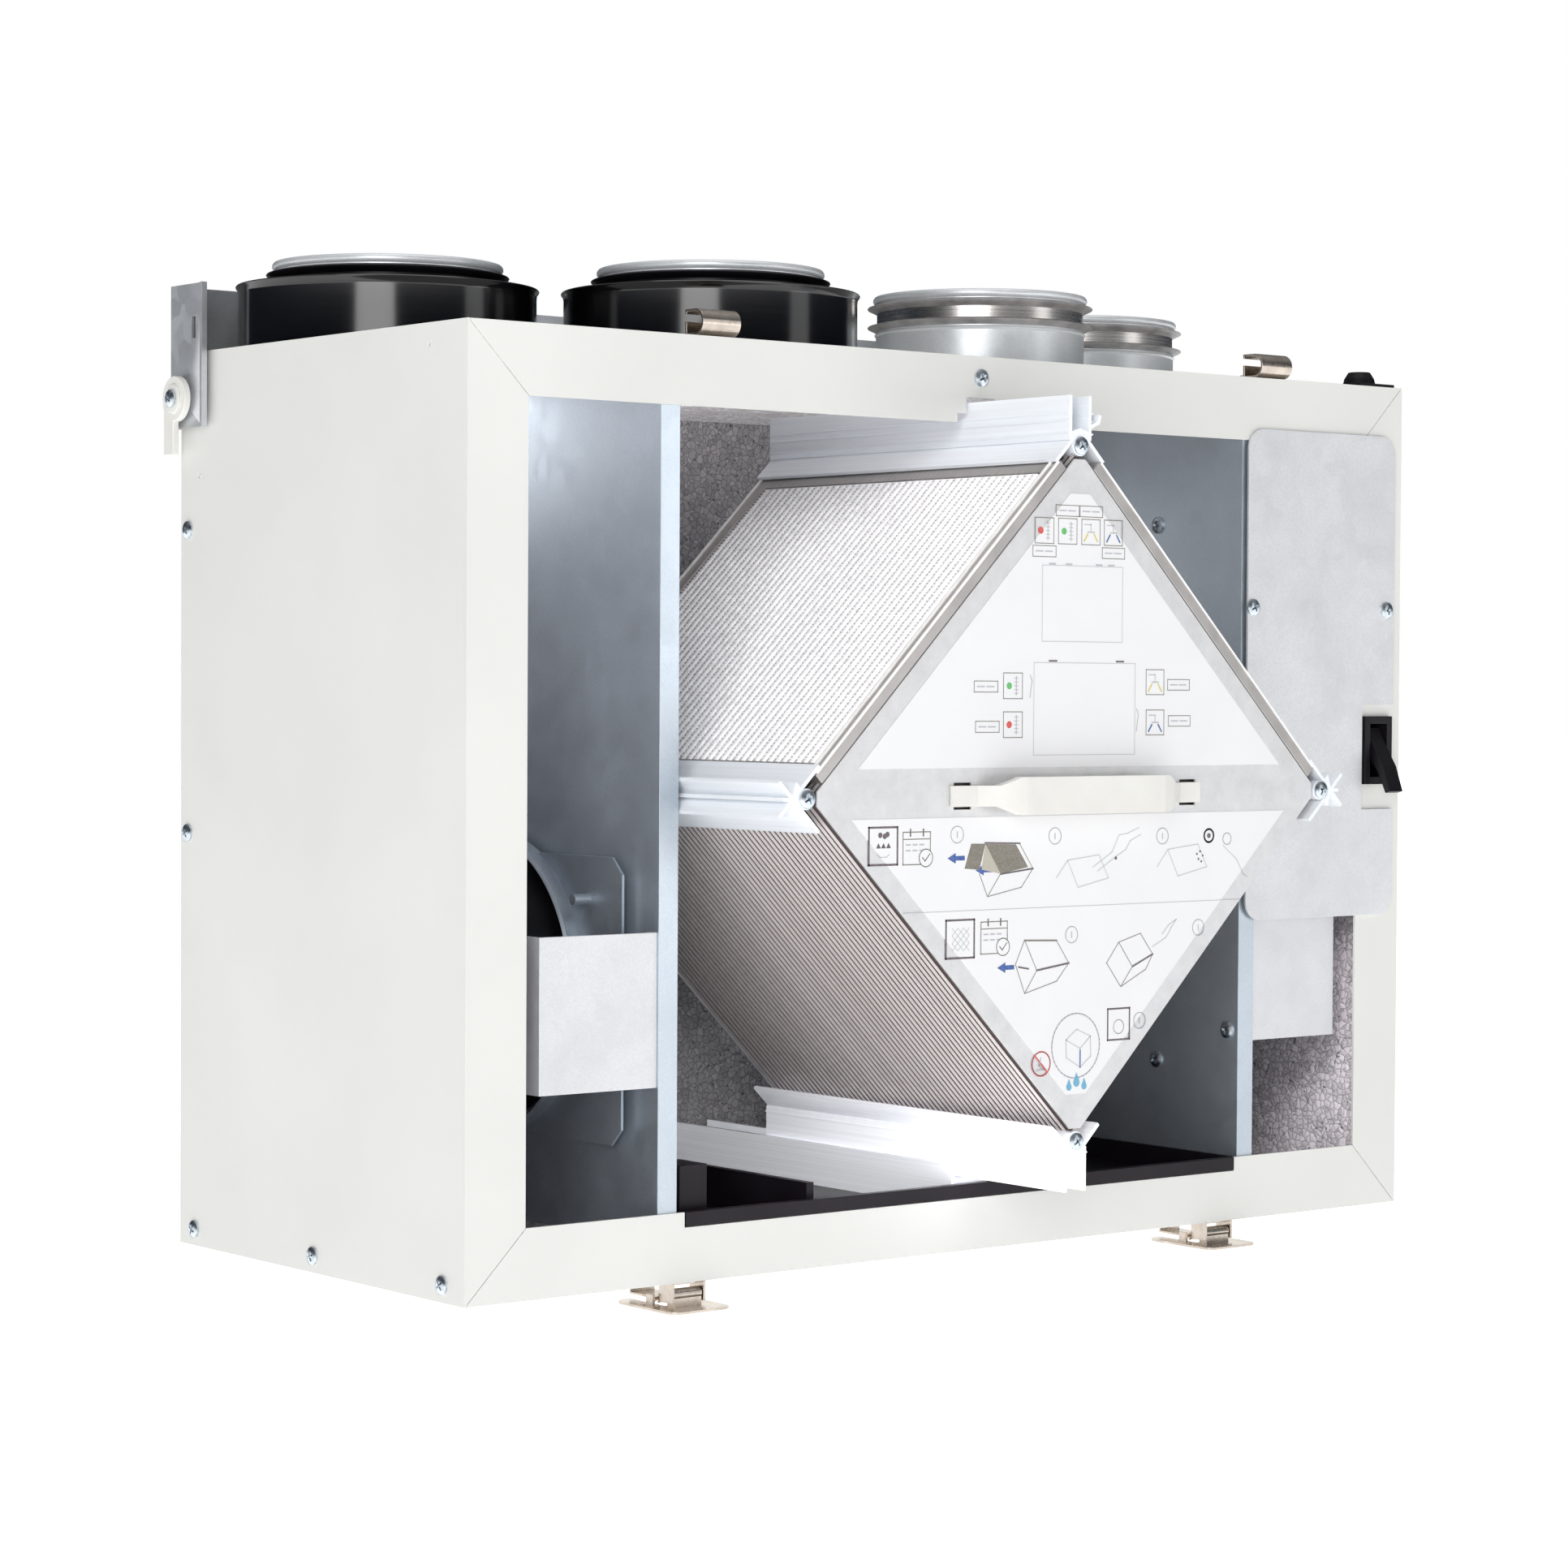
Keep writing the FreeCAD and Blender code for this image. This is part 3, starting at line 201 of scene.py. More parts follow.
def surface(name, **sockets):
    """An empty material with one Principled shader, and its tree."""
    material = bpy.data.materials.new(name)
    material.use_nodes = True
    tree = material.node_tree
    tree.nodes.clear()
    shader = tree.nodes.new("ShaderNodeBsdfPrincipled")
    output = tree.nodes.new("ShaderNodeOutputMaterial")
    tree.links.new(shader.outputs["BSDF"], output.inputs["Surface"])
    for key, value in sockets.items():
        shader.inputs[key.replace("_", " ")].default_value = value
    return material, tree, shader


def object_place(tree, scale=(1, 1, 1), turn=(0, 0, 0)):
    """Object coordinates, stretched and turned by a Mapping node."""
    coords = tree.nodes.new("ShaderNodeTexCoord")
    return add_node(
        tree, "ShaderNodeMapping", Vector=coords.outputs["Object"], Scale=scale, Rotation=turn
    ).outputs[0]


def noise(tree, place, scale, detail=3.0, rough=0.5):
    return add_node(
        tree, "ShaderNodeTexNoise", Vector=place, Scale=scale, Detail=detail, Roughness=rough
    ).outputs["Fac"]


def spread(tree, value, low, high, start=0.0, end=1.0):
    """A value from start to end, moved to the range from low to high."""
    settings = {"From Min": start, "From Max": end, "To Min": low, "To Max": high}
    made = tree.nodes.new("ShaderNodeMapRange")
    tree.links.new(value, made.inputs["Value"])
    for key, number in settings.items():
        made.inputs[key].default_value = number
    return made.outputs["Result"]


def shades(tree, value, stops):
    """A colour ramp from (position, (r, g, b)) stops."""
    made = tree.nodes.new("ShaderNodeValToRGB")
    ramp = made.color_ramp
    while len(ramp.elements) < len(stops):
        ramp.elements.new(0.5)
    for element, (position, color) in zip(ramp.elements, stops):
        element.position = position
        element.color = (*color, 1)
    tree.links.new(value, made.inputs[0])
    return made.outputs["Color"]


def tinted(color, factor):
    return tuple(min(1.0, channel * factor) for channel in color)


def blended(tree, value, first, second):
    """Two colours or colour sockets mixed by a value."""
    made = tree.nodes.new("ShaderNodeMix")
    made.data_type = "RGBA"
    for socket, item in ((made.inputs[0], value), (made.inputs[6], first), (made.inputs[7], second)):
        if isinstance(item, bpy.types.NodeSocket):
            tree.links.new(item, socket)
        elif isinstance(item, tuple):
            socket.default_value = (*item, 1)
        else:
            socket.default_value = item
    return made.outputs[2]


def relief(tree, shader, height, strength, distance):
    made = add_node(tree, "ShaderNodeBump", Height=height, Strength=strength, Distance=distance)
    tree.links.new(made.outputs[0], shader.inputs["Normal"])


def feed(tree, shader, socket, value):
    tree.links.new(value, shader.inputs[socket])


FINISHES = {}


def finish(name):
    """The node material of that name, made the first time that it is asked for."""
    if name not in FINISHES:
        FINISHES[name] = FINISH_MAKERS[name](name)
    return FINISHES[name]


# ---------------------------------------------------------------- finishes
def powder_coat(name):
    """Satin off-white coat with orange peel, a faint rolling grain and slight clouding."""
    color = tuple(bpy.context.scene.heat_casing.paint_color)
    material, tree, shader = surface(name, Coat_Weight=0.12, Coat_Roughness=0.25)
    place = object_place(tree)
    cloud = noise(tree, place, 9.0, 4.0)
    grain = noise(tree, object_place(tree, (900, 900, 8)), 1.0, 2.0)
    tone = shades(tree, cloud, [(0.3, tinted(color, 0.965)), (0.7, tinted(color, 1.02))])
    feed(tree, shader, "Base Color", blended(tree, spread(tree, grain, 0.0, 0.10), tone, tinted(color, 0.93)))
    feed(tree, shader, "Roughness", spread(tree, noise(tree, place, 60.0), 0.36, 0.50))
    relief(tree, shader, noise(tree, place, 1400.0, 2.0), 0.10, 0.0004)
    return material


def zinc_sheet(name, color=None, low=0.36, high=0.52, metallic=0.78):
    """Galvanised sheet: a soft spangle under a fine rolled grain."""
    color = color or tuple(bpy.context.scene.heat_casing.zinc_color)
    material, tree, shader = surface(name, Metallic=metallic)
    place = object_place(tree)
    warped = noise(tree, place, 14.0, 5.0, 0.6)
    spangle = add_node(
        tree, "ShaderNodeTexVoronoi", {"feature": "F1"}, Vector=place, Scale=95.0
    ).outputs["Color"]
    flake = add_node(tree, "ShaderNodeSeparateColor", Color=spangle).outputs[0]
    tone = shades(tree, warped, [(0.25, tinted(color, 0.86)), (0.75, tinted(color, 1.10))])
    fine = noise(tree, place, 850.0, 2.0)
    tone = blended(tree, spread(tree, flake, 0.0, 0.22), tone, tinted(color, 1.22))
    feed(
        tree, shader, "Base Color",
        blended(tree, spread(tree, fine, 0.0, 0.30, 0.35, 0.65), tone, tinted(color, 0.80)),
    )
    rough = blended(tree, 0.5, spread(tree, flake, low, high), spread(tree, warped, low, high))
    feed(tree, shader, "Roughness", rough)
    relief(tree, shader, blended(tree, 0.4, fine, flake), 0.06, 0.0003)
    return material


def bead_foam(name, color=None):
    """Expanded bead foam: pressed beads with dark joints, pores and a few black specks."""
    settings = bpy.context.scene.heat_casing
    color = color or tuple(settings.foam_color)
    material, tree, shader = surface(name)
    place = object_place(tree)
    scale = 1.0 / settings.bead_size
    warp = add_node(tree, "ShaderNodeTexNoise", Vector=place, Scale=scale * 0.6, Detail=2.0).outputs["Color"]
    bent = add_node(tree, "ShaderNodeMix", {"data_type": "VECTOR"}, i0=0.004, i4=place, i5=warp).outputs[1]
    edges = {"feature": "DISTANCE_TO_EDGE"}
    joint = add_node(tree, "ShaderNodeTexVoronoi", edges, Vector=bent, Scale=scale).outputs["Distance"]
    bead = add_node(tree, "ShaderNodeTexVoronoi", Vector=bent, Scale=scale).outputs["Color"]
    shade = add_node(tree, "ShaderNodeSeparateColor", Color=bead).outputs[1]
    tone = shades(tree, shade, [(0.0, tinted(color, 0.72)), (0.5, color), (1.0, tinted(color, 1.35))])
    tone = blended(
        tree, spread(tree, noise(tree, place, 1100.0, 2.0), 0.0, 0.9, 0.45, 0.75), tone, tinted(color, 1.6)
    )
    tone = blended(tree, spread(tree, joint, 0.75, 0.0, 0.0, 0.09), tone, tinted(color, 0.30))
    speck = spread(tree, noise(tree, place, 330.0, 1.0), 0.0, 0.9, 0.66, 0.74)
    feed(tree, shader, "Base Color", blended(tree, speck, tone, tinted(color, 0.22)))
    feed(tree, shader, "Roughness", spread(tree, shade, 0.62, 0.9))
    relief(tree, shader, spread(tree, joint, 0.0, 1.0, 0.0, 0.25), 0.55, 0.0006)
    return material


def moulded_black(name, color=(0.007, 0.006, 0.008), low=0.30, high=0.46):
    """Black moulded plastic with a fine spark texture."""
    material, tree, shader = surface(name, Specular_IOR_Level=0.22)
    place = object_place(tree)
    grain = noise(tree, place, 1500.0, 2.0)
    cloud = noise(tree, place, 22.0, 4.0)
    feed(
        tree, shader, "Base Color",
        shades(tree, cloud, [(0.3, tinted(color, 0.75)), (0.75, tinted(color, 1.5))]),
    )
    feed(tree, shader, "Roughness", spread(tree, blended(tree, 0.5, grain, cloud), low, high, 0.3, 0.7))
    relief(tree, shader, grain, 0.22, 0.0003)
    return material


def glossy_black(name):
    """The sleeves' shiny black, with faint drawn rings and a little dust."""
    material, tree, shader = surface(name, IOR=1.65)
    place = object_place(tree)
    rings = noise(tree, object_place(tree, (12, 12, 900)), 1.0, 2.0)
    dust = spread(tree, noise(tree, place, 420.0, 2.0), 0.0, 0.4, 0.74, 0.84)
    feed(tree, shader, "Base Color", blended(tree, dust, (0.002, 0.002, 0.003), (0.06, 0.06, 0.07)))
    feed(tree, shader, "Roughness", spread(tree, rings, 0.12, 0.17))
    relief(tree, shader, rings, 0.01, 0.0001)
    return material


def mottled(name, color, cloud, tones, rough, bump, stretch=(1, 1, 1), **sockets):
    """A finish whose tone follows a noise; its roughness and relief follow it too, or have one of their own.

    Noises are (scale, detail), tones are (position, factor) stops, rough is (low, high, its noise) and bump is
    (strength, distance, its noise).
    """
    material, tree, shader = surface(name, **sockets)
    place = object_place(tree, stretch)
    tone = noise(tree, place, *cloud)
    low, high, *own_rough = rough
    strength, distance, *own_bump = bump
    feed(tree, shader, "Base Color", shades(tree, tone, [(at, tinted(color, factor)) for at, factor in tones]))
    feed(
        tree, shader, "Roughness",
        spread(tree, noise(tree, place, *own_rough) if own_rough else tone, low, high),
    )
    relief(tree, shader, noise(tree, place, *own_bump) if own_bump else tone, strength, distance)
    return material


def drawn(name, color, stretch, cloud, tones, veil, rough, bump, **sockets):
    """A finish with lines along its length under a faint cloud; veil is (cover, factor) of the cloud."""
    material, tree, shader = surface(name, **sockets)
    lines = noise(tree, object_place(tree, stretch), 1.0, 3.0)
    tone = shades(tree, lines, [(0.3, tinted(color, tones[0])), (0.7, tinted(color, tones[1]))])
    cover = spread(tree, noise(tree, object_place(tree), *cloud), 0.0, veil[0])
    feed(tree, shader, "Base Color", blended(tree, cover, tone, tinted(color, veil[1])))
    feed(tree, shader, "Roughness", spread(tree, lines, *rough))
    relief(tree, shader, lines, *bump)
    return material


def core_plate(name):
    """Thin rolled plates whose tone drifts from one to the next."""
    color = tuple(bpy.context.scene.heat_exchanger.core_color)
    material, tree, shader = surface(name, Metallic=0.35)
    bands = noise(tree, object_place(tree, (1, 60, 1)), 1.0, 1.0)
    cloud = noise(tree, object_place(tree), 12.0, 4.0)
    tone = shades(tree, bands, [(0.3, tinted(color, 0.99)), (0.7, tinted(color, 1.10))])
    feed(tree, shader, "Base Color", blended(tree, spread(tree, cloud, 0.0, 0.20), tone, tinted(color, 0.90)))
    feed(tree, shader, "Roughness", spread(tree, cloud, 0.34, 0.46))
    relief(tree, shader, noise(tree, object_place(tree), 90.0, 2.0), 0.01, 0.0002)
    return material


def aluminium(name, color, stretch, low, high, metallic):
    """Aluminium with a drawn grain."""
    tones, veil = (0.86, 1.12), (0.3, 0.84)
    return drawn(name, color, stretch, (30.0, 4.0), tones, veil, (low, high), (0.06, 0.0002), Metallic=metallic)


def end_plate(name):
    """The pale mill finish of the exchanger's end plates, mottled rather than shiny."""
    color = (0.70, 0.70, 0.71)
    material, tree, shader = surface(name, Metallic=0.45)
    place = object_place(tree)
    mottle = noise(tree, place, 65.0, 6.0, 0.7)
    scratch = noise(tree, object_place(tree, (60, 60, 2400), (0, 0.35, 0)), 1.0, 3.0)
    tone = shades(tree, mottle, [(0.3, tinted(color, 0.90)), (0.7, tinted(color, 1.12))])
    feed(tree, shader, "Base Color", blended(tree, spread(tree, scratch, 0.0, 0.25), tone, tinted(color, 1.2)))
    feed(tree, shader, "Roughness", spread(tree, mottle, 0.34, 0.52))
    relief(tree, shader, mottle, 0.08, 0.0003)
    return material


def shade_darkened_fleece(name):
    """Fleece with loose fibres, its white coloured dark grey as painted shade for the holes of the mesh over it."""
    material, tree, shader = surface(name, Sheen_Weight=0.25, Sheen_Roughness=0.5)
    place = object_place(tree)
    fibres = noise(tree, object_place(tree, (1, 1, 1), (0.4, 0.7, 0.2)), 900.0, 6.0, 0.75)
    cloud = noise(tree, place, 45.0, 4.0)
    # painted shade: the fleece is kept dark grey so the holes between the mesh wires read as shadow
    tone = shades(tree, fibres, [(0.3, (0.24, 0.22, 0.22)), (0.65, (0.36, 0.34, 0.34))])
    feed(tree, shader, "Base Color", blended(tree, spread(tree, cloud, 0.0, 0.30), tone, (0.20, 0.18, 0.18)))
    feed(tree, shader, "Roughness", spread(tree, fibres, 0.8, 0.95))
    relief(tree, shader, fibres, 0.5, 0.0006)
    return material


def printed_film(name):
    """The white face of the labels, with a slight film gloss."""
    material, tree, shader = surface(name, Coat_Weight=0.25, Coat_Roughness=0.3)
    place = object_place(tree)
    cloud = noise(tree, place, 30.0, 4.0)
    feed(
        tree, shader, "Base Color", shades(tree, cloud, [(0.3, (0.86, 0.86, 0.87)), (0.7, (0.88, 0.88, 0.89))])
    )
    feed(tree, shader, "Roughness", spread(tree, noise(tree, place, 200.0), 0.34, 0.46))
    relief(tree, shader, noise(tree, place, 260.0, 3.0), 0.01, 0.0003)
    return material


def ink(name, color):
    """Printing ink whose cover thins out slightly."""
    material, tree, shader = surface(name)
    density = noise(tree, object_place(tree), 1100.0, 3.0)
    feed(
        tree, shader, "Base Color",
        shades(tree, density, [(0.35, color), (0.8, tuple(c * 0.8 + 0.15 for c in color))]),
    )
    feed(tree, shader, "Roughness", spread(tree, density, 0.4, 0.6))
    return material


def board_mask(name):
    """Solder mask with copper runs showing through."""
    material, tree, shader = surface(name, Coat_Weight=0.4, Coat_Roughness=0.15)
    place = object_place(tree, (420, 420, 420))
    runs = add_node(tree, "ShaderNodeTexBrick", Vector=place, Scale=0.5, Mortar_Size=0.02).outputs["Fac"]
    tone = shades(
        tree, noise(tree, object_place(tree), 90.0), [(0.3, (0.01, 0.10, 0.045)), (0.7, (0.02, 0.16, 0.07))]
    )
    feed(tree, shader, "Base Color", blended(tree, runs, tone, (0.05, 0.26, 0.11)))
    feed(tree, shader, "Roughness", spread(tree, runs, 0.3, 0.5))
    return material


FINISH_MAKERS = {
    "casing_paint": powder_coat,
    "foam": bead_foam,
    "violet_foam": partial(bead_foam, color=(0.72, 0.65, 0.70)),
    "galvanised": zinc_sheet,
    "cover_zinc": partial(zinc_sheet, color=(0.80, 0.81, 0.83), low=0.40, high=0.58, metallic=0.62),
    "rail_zinc": partial(zinc_sheet, color=(0.62, 0.64, 0.67), low=0.30, high=0.50, metallic=0.75),
    "spigot_tin": partial(zinc_sheet, color=(0.87, 0.90, 0.93), low=0.30, high=0.44, metallic=0.38),
    "black_plastic": moulded_black,
    "tray_black": partial(moulded_black, color=(0.013, 0.010, 0.014), low=0.26, high=0.40),
    "gloss_black": glossy_black,
    "core_aluminium": core_plate,
    "plate_aluminium": end_plate,
    # the filter fleece's dark grey is painted shade for the holes of the mesh over it
    "filter_cloth": shade_darkened_fleece,
    "label_film": printed_film,
    "board_green": board_mask,
    "frame_aluminium": partial(
        aluminium, color=(0.46, 0.44, 0.43), stretch=(60, 700, 60), low=0.26, high=0.42, metallic=0.85
    ),
    "bright_aluminium": partial(
        aluminium, color=(0.90, 0.89, 0.88), stretch=(60, 700, 60), low=0.28, high=0.42, metallic=0.35
    ),
    "core_shadow": partial(
        aluminium, color=(0.13, 0.10, 0.095), stretch=(2, 40, 2), low=0.45, high=0.60, metallic=0.30
    ),
    "mesh_strand": partial(
        aluminium, color=(0.90, 0.89, 0.90), stretch=(300, 300, 300), low=0.34, high=0.5, metallic=0.30
    ),
    "motor_steel": partial(
        aluminium, color=(0.48, 0.49, 0.50), stretch=(260, 260, 260), low=0.35, high=0.55, metallic=0.95
    ),
    "white_plastic": partial(
        drawn, color=(0.84, 0.87, 0.91), stretch=(700, 5, 700), cloud=(18.0, 3.0), tones=(0.95, 1.03),
        veil=(0.12, 0.9),
        rough=(0.28, 0.42), bump=(0.08, 0.0003), Coat_Weight=0.2, Coat_Roughness=0.2,
    ),
    "rail_aluminium": partial(
        drawn, color=(0.88, 0.89, 0.93), stretch=(900, 4, 900), cloud=(16.0, 3.0), tones=(0.93, 1.04),
        veil=(0.16, 0.86),
        rough=(0.30, 0.44), bump=(0.07, 0.0003), Metallic=0.25,
    ),
    "handle_plastic": partial(
        mottled, color=(0.83, 0.82, 0.78), cloud=(40.0, 4.0), tones=((0.3, 0.96), (0.7, 1.03)),
        rough=(0.40, 0.55),
        bump=(0.12, 0.0003, 1300.0, 2.0), Subsurface_Weight=0.08, Subsurface_Scale=0.003,
    ),
    "nickel": partial(
        mottled, color=(0.62, 0.55, 0.48), cloud=(120.0, 4.0), tones=((0.25, 0.80), (0.75, 1.15)),
        rough=(0.16, 0.34, 500.0),
        bump=(0.08, 0.0002, 700.0, 3.0), Metallic=1.0,
    ),
    "seal_rubber": partial(
        mottled, color=(0.30, 0.285, 0.285), cloud=(80.0, 4.0), tones=((0.3, 0.7), (0.7, 1.5)),
        rough=(0.32, 0.5),
        bump=(0.15, 0.0003, 900.0, 2.0), Specular_IOR_Level=0.8,
    ),
    "fan_grey": partial(
        mottled, color=(0.26, 0.25, 0.25), cloud=(520.0, 2.0, 0.7),
        tones=((0.38, 0.45), (0.5, 1.0), (0.66, 1.8)),
        rough=(0.45, 0.65), bump=(0.3, 0.0004),
    ),
    "zinc": partial(
        mottled, color=(0.64, 0.70, 0.75), cloud=(420.0, 4.0), tones=((0.25, 0.72), (0.7, 1.2)),
        rough=(0.20, 0.38),
        bump=(0.08, 0.0002, 900.0, 2.0), Metallic=1.0,
    ),
    "polished_band": partial(
        mottled, color=(0.80, 0.76, 0.73), stretch=(6, 6, 1500), cloud=(1.0, 3.0),
        tones=((0.3, 0.85), (0.7, 1.15)),
        rough=(0.22, 0.32), bump=(0.05, 0.0002), Metallic=1.0,
    ),
    "ink_dark": partial(ink, color=(0.11, 0.08, 0.09)),
    "ink_fine": partial(ink, color=(0.50, 0.50, 0.53)),
    "ink_blue": partial(ink, color=(0.02, 0.09, 0.36)),
    "ink_sky": partial(ink, color=(0.12, 0.42, 0.62)),
    "ink_red": partial(ink, color=(0.72, 0.06, 0.05)),
    "ink_green": partial(ink, color=(0.10, 0.50, 0.13)),
    "ink_yellow": partial(ink, color=(0.72, 0.60, 0.10)),
    "ink_taupe": partial(ink, color=(0.20, 0.18, 0.14)),
    "ink_sand": partial(ink, color=(0.50, 0.47, 0.38)),
}


def settled(mesh, name, finishes, node, replaced=()):
    """A finished piece: its mesh in place, its materials and body set, and the CAD nodes it stands for."""
    piece = bpy.data.objects.new(name, mesh)
    bpy.context.scene.collection.objects.link(piece)
    if not mesh.materials:
        for each in finishes:
            mesh.materials.append(finish(each))
    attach(piece, frame["nodes"][node]["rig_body"])
    if replaced:
        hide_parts(*replaced)
    return piece


def smooth_mesh(form, name, angle=30.0):
    """A mesh from a bmesh, smooth except where two faces meet at more than the angle."""
    mesh = bpy.data.meshes.new(name)
    form.to_mesh(mesh)
    form.free()
    mesh.shade_smooth()
    mesh.set_sharp_from_angle(angle=math.radians(angle))
    return mesh


def merged(node):
    """A bmesh copy of a CAD node with its loose triangles joined into flat faces."""
    form = bmesh.new()
    form.from_mesh(frame["nodes"][node].data)
    bmesh.ops.remove_doubles(form, verts=form.verts, dist=1e-6)
    bmesh.ops.dissolve_limit(form, angle_limit=math.radians(0.4), verts=form.verts, edges=form.edges)
    return form


def softened(node, finish_name, width, segments=2):
    """A CAD node's own shape with its edges rounded."""
    mesh = smooth_mesh(merged(node), node + "_form")
    piece = settled(mesh, node + "_soft", [finish_name], node, [node])
    bevel = piece.modifiers.new("edges", "BEVEL")
    bevel.width = width
    bevel.segments = segments
    bevel.limit_method = "ANGLE"
    bevel.angle_limit = math.radians(30.0)
    bevel.harden_normals = True
    bevel.use_clamp_overlap = True


def repaint(node, finish_name):
    """Gives a CAD node its node material and leaves its shape alone."""
    mesh = frame["nodes"][node].data
    mesh.materials.clear()
    mesh.materials.append(finish(finish_name))


def lathe(form, outline, centre, material=0):
    """Turns a closed outline of (radius, height) pairs in metres about a vertical axis, into form."""
    rings = []
    for step in range(LATHE_STEPS):
        angle = 2 * math.pi * step / LATHE_STEPS
        across = Vector((math.cos(angle), math.sin(angle), 0))
        rings.append([form.verts.new(centre + across * r + Z_AXIS * h) for r, h in outline])
    count = len(outline)
    faces = []
    for step in range(LATHE_STEPS):
        here, there = rings[step], rings[(step + 1) % LATHE_STEPS]
        for k in range(count):
            n = (k + 1) % count
            faces.append(form.faces.new((here[k], there[k], there[n], here[n])))
    for face in faces:
        face.material_index = material
    bmesh.ops.recalc_face_normals(form, faces=faces)


def slab(form, low, high):
    """A box between two corners, added to form."""
    middle = (Vector(low) + Vector(high)) / 2
    place = Matrix.Translation(middle) @ Matrix.Diagonal((*(Vector(high) - Vector(low)), 1))
    return bmesh.ops.create_cube(form, size=1.0, matrix=place)["verts"]


def extruded(form, outline, low, high, material):
    """A closed outline of 3-D points at y = 0, stretched from low to high along Y."""
    near = [form.verts.new(Vector(p) + Y_AXIS * low) for p in outline]
    far = [form.verts.new(Vector(p) + Y_AXIS * high) for p in outline]
    faces = [form.faces.new(near), form.faces.new(list(reversed(far)))]
    count = len(outline)
    for k in range(count):
        n = (k + 1) % count
        faces.append(form.faces.new((near[n], near[k], far[k], far[n])))
    for face in faces:
        face.material_index = material
    bmesh.ops.recalc_face_normals(form, faces=faces)


# ---------------------------------------------------------------- geometry node helpers
SOCKETS = {float: "NodeSocketFloat", int: "NodeSocketInt", bpy.types.Material: "NodeSocketMaterial"}


def new_tree(name, sizes):
    """A geometry node tree with named inputs for its sizes, and its input and output nodes."""
    tree = bpy.data.node_groups.new(name, "GeometryNodeTree")
    tree.interface.new_socket(name="Geometry", in_out="INPUT", socket_type="NodeSocketGeometry")
    tree.interface.new_socket(name="Geometry", in_out="OUTPUT", socket_type="NodeSocketGeometry")
    for label, value in sizes.items():
        kind = bpy.types.Material if isinstance(value, bpy.types.Material) else type(value)
        socket = tree.interface.new_socket(name=label, in_out="INPUT", socket_type=SOCKETS[kind])
        if kind is not bpy.types.Material:
            socket.default_value = value
    return tree, tree.nodes.new("NodeGroupInput"), tree.nodes.new("NodeGroupOutput")


def close_tree(tree, geometry, material, sink):
    """Ends a tree in Realize Instances and Set Material."""
    real = add_node(tree, "GeometryNodeRealizeInstances", Geometry=geometry).outputs[0]
    painted = add_node(tree, "GeometryNodeSetMaterial", Geometry=real, Material=material).outputs[0]
    tree.links.new(painted, sink.inputs[0])


def grown(tree, sizes, name, base=None):
    """The plain mesh that a geometry node tree makes from a base mesh and its sizes."""
    seed = bpy.data.objects.new(name + "_seed", base or bpy.data.meshes.new(name + "_seed"))
    bpy.context.scene.collection.objects.link(seed)
    modifier = seed.modifiers.new("grow", "NODES")
    modifier.node_group = tree
    for item in tree.interface.items_tree:
        if item.item_type == "SOCKET" and item.in_out == "INPUT" and item.name in sizes:
            modifier[item.identifier] = sizes[item.name]
    bpy.context.view_layer.update()
    graph = bpy.context.evaluated_depsgraph_get()
    mesh = bpy.data.meshes.new_from_object(seed.evaluated_get(graph))
    mesh.name = name
    bpy.data.objects.remove(seed)
    return mesh


def vector_math(tree, operation, first, second):
    return add_node(tree, "ShaderNodeVectorMath", {"operation": operation}, i0=first, i1=second).outputs[0]


def number_math(tree, operation, first, second):
    return add_node(tree, "ShaderNodeMath", {"operation": operation}, i0=first, i1=second).outputs[0]


def to_vector(tree, x=0.0, y=0.0, z=0.0):
    return add_node(tree, "ShaderNodeCombineXYZ", X=x, Y=y, Z=z).outputs[0]


# ---------------------------------------------------------------- screws
SCREW_SIZES = {
    "Head Radius": 4.9 * MM, "Head Height": 2.2 * MM, "Slot Length": 5.6 * MM, "Slot Width": 1.1 * MM
}


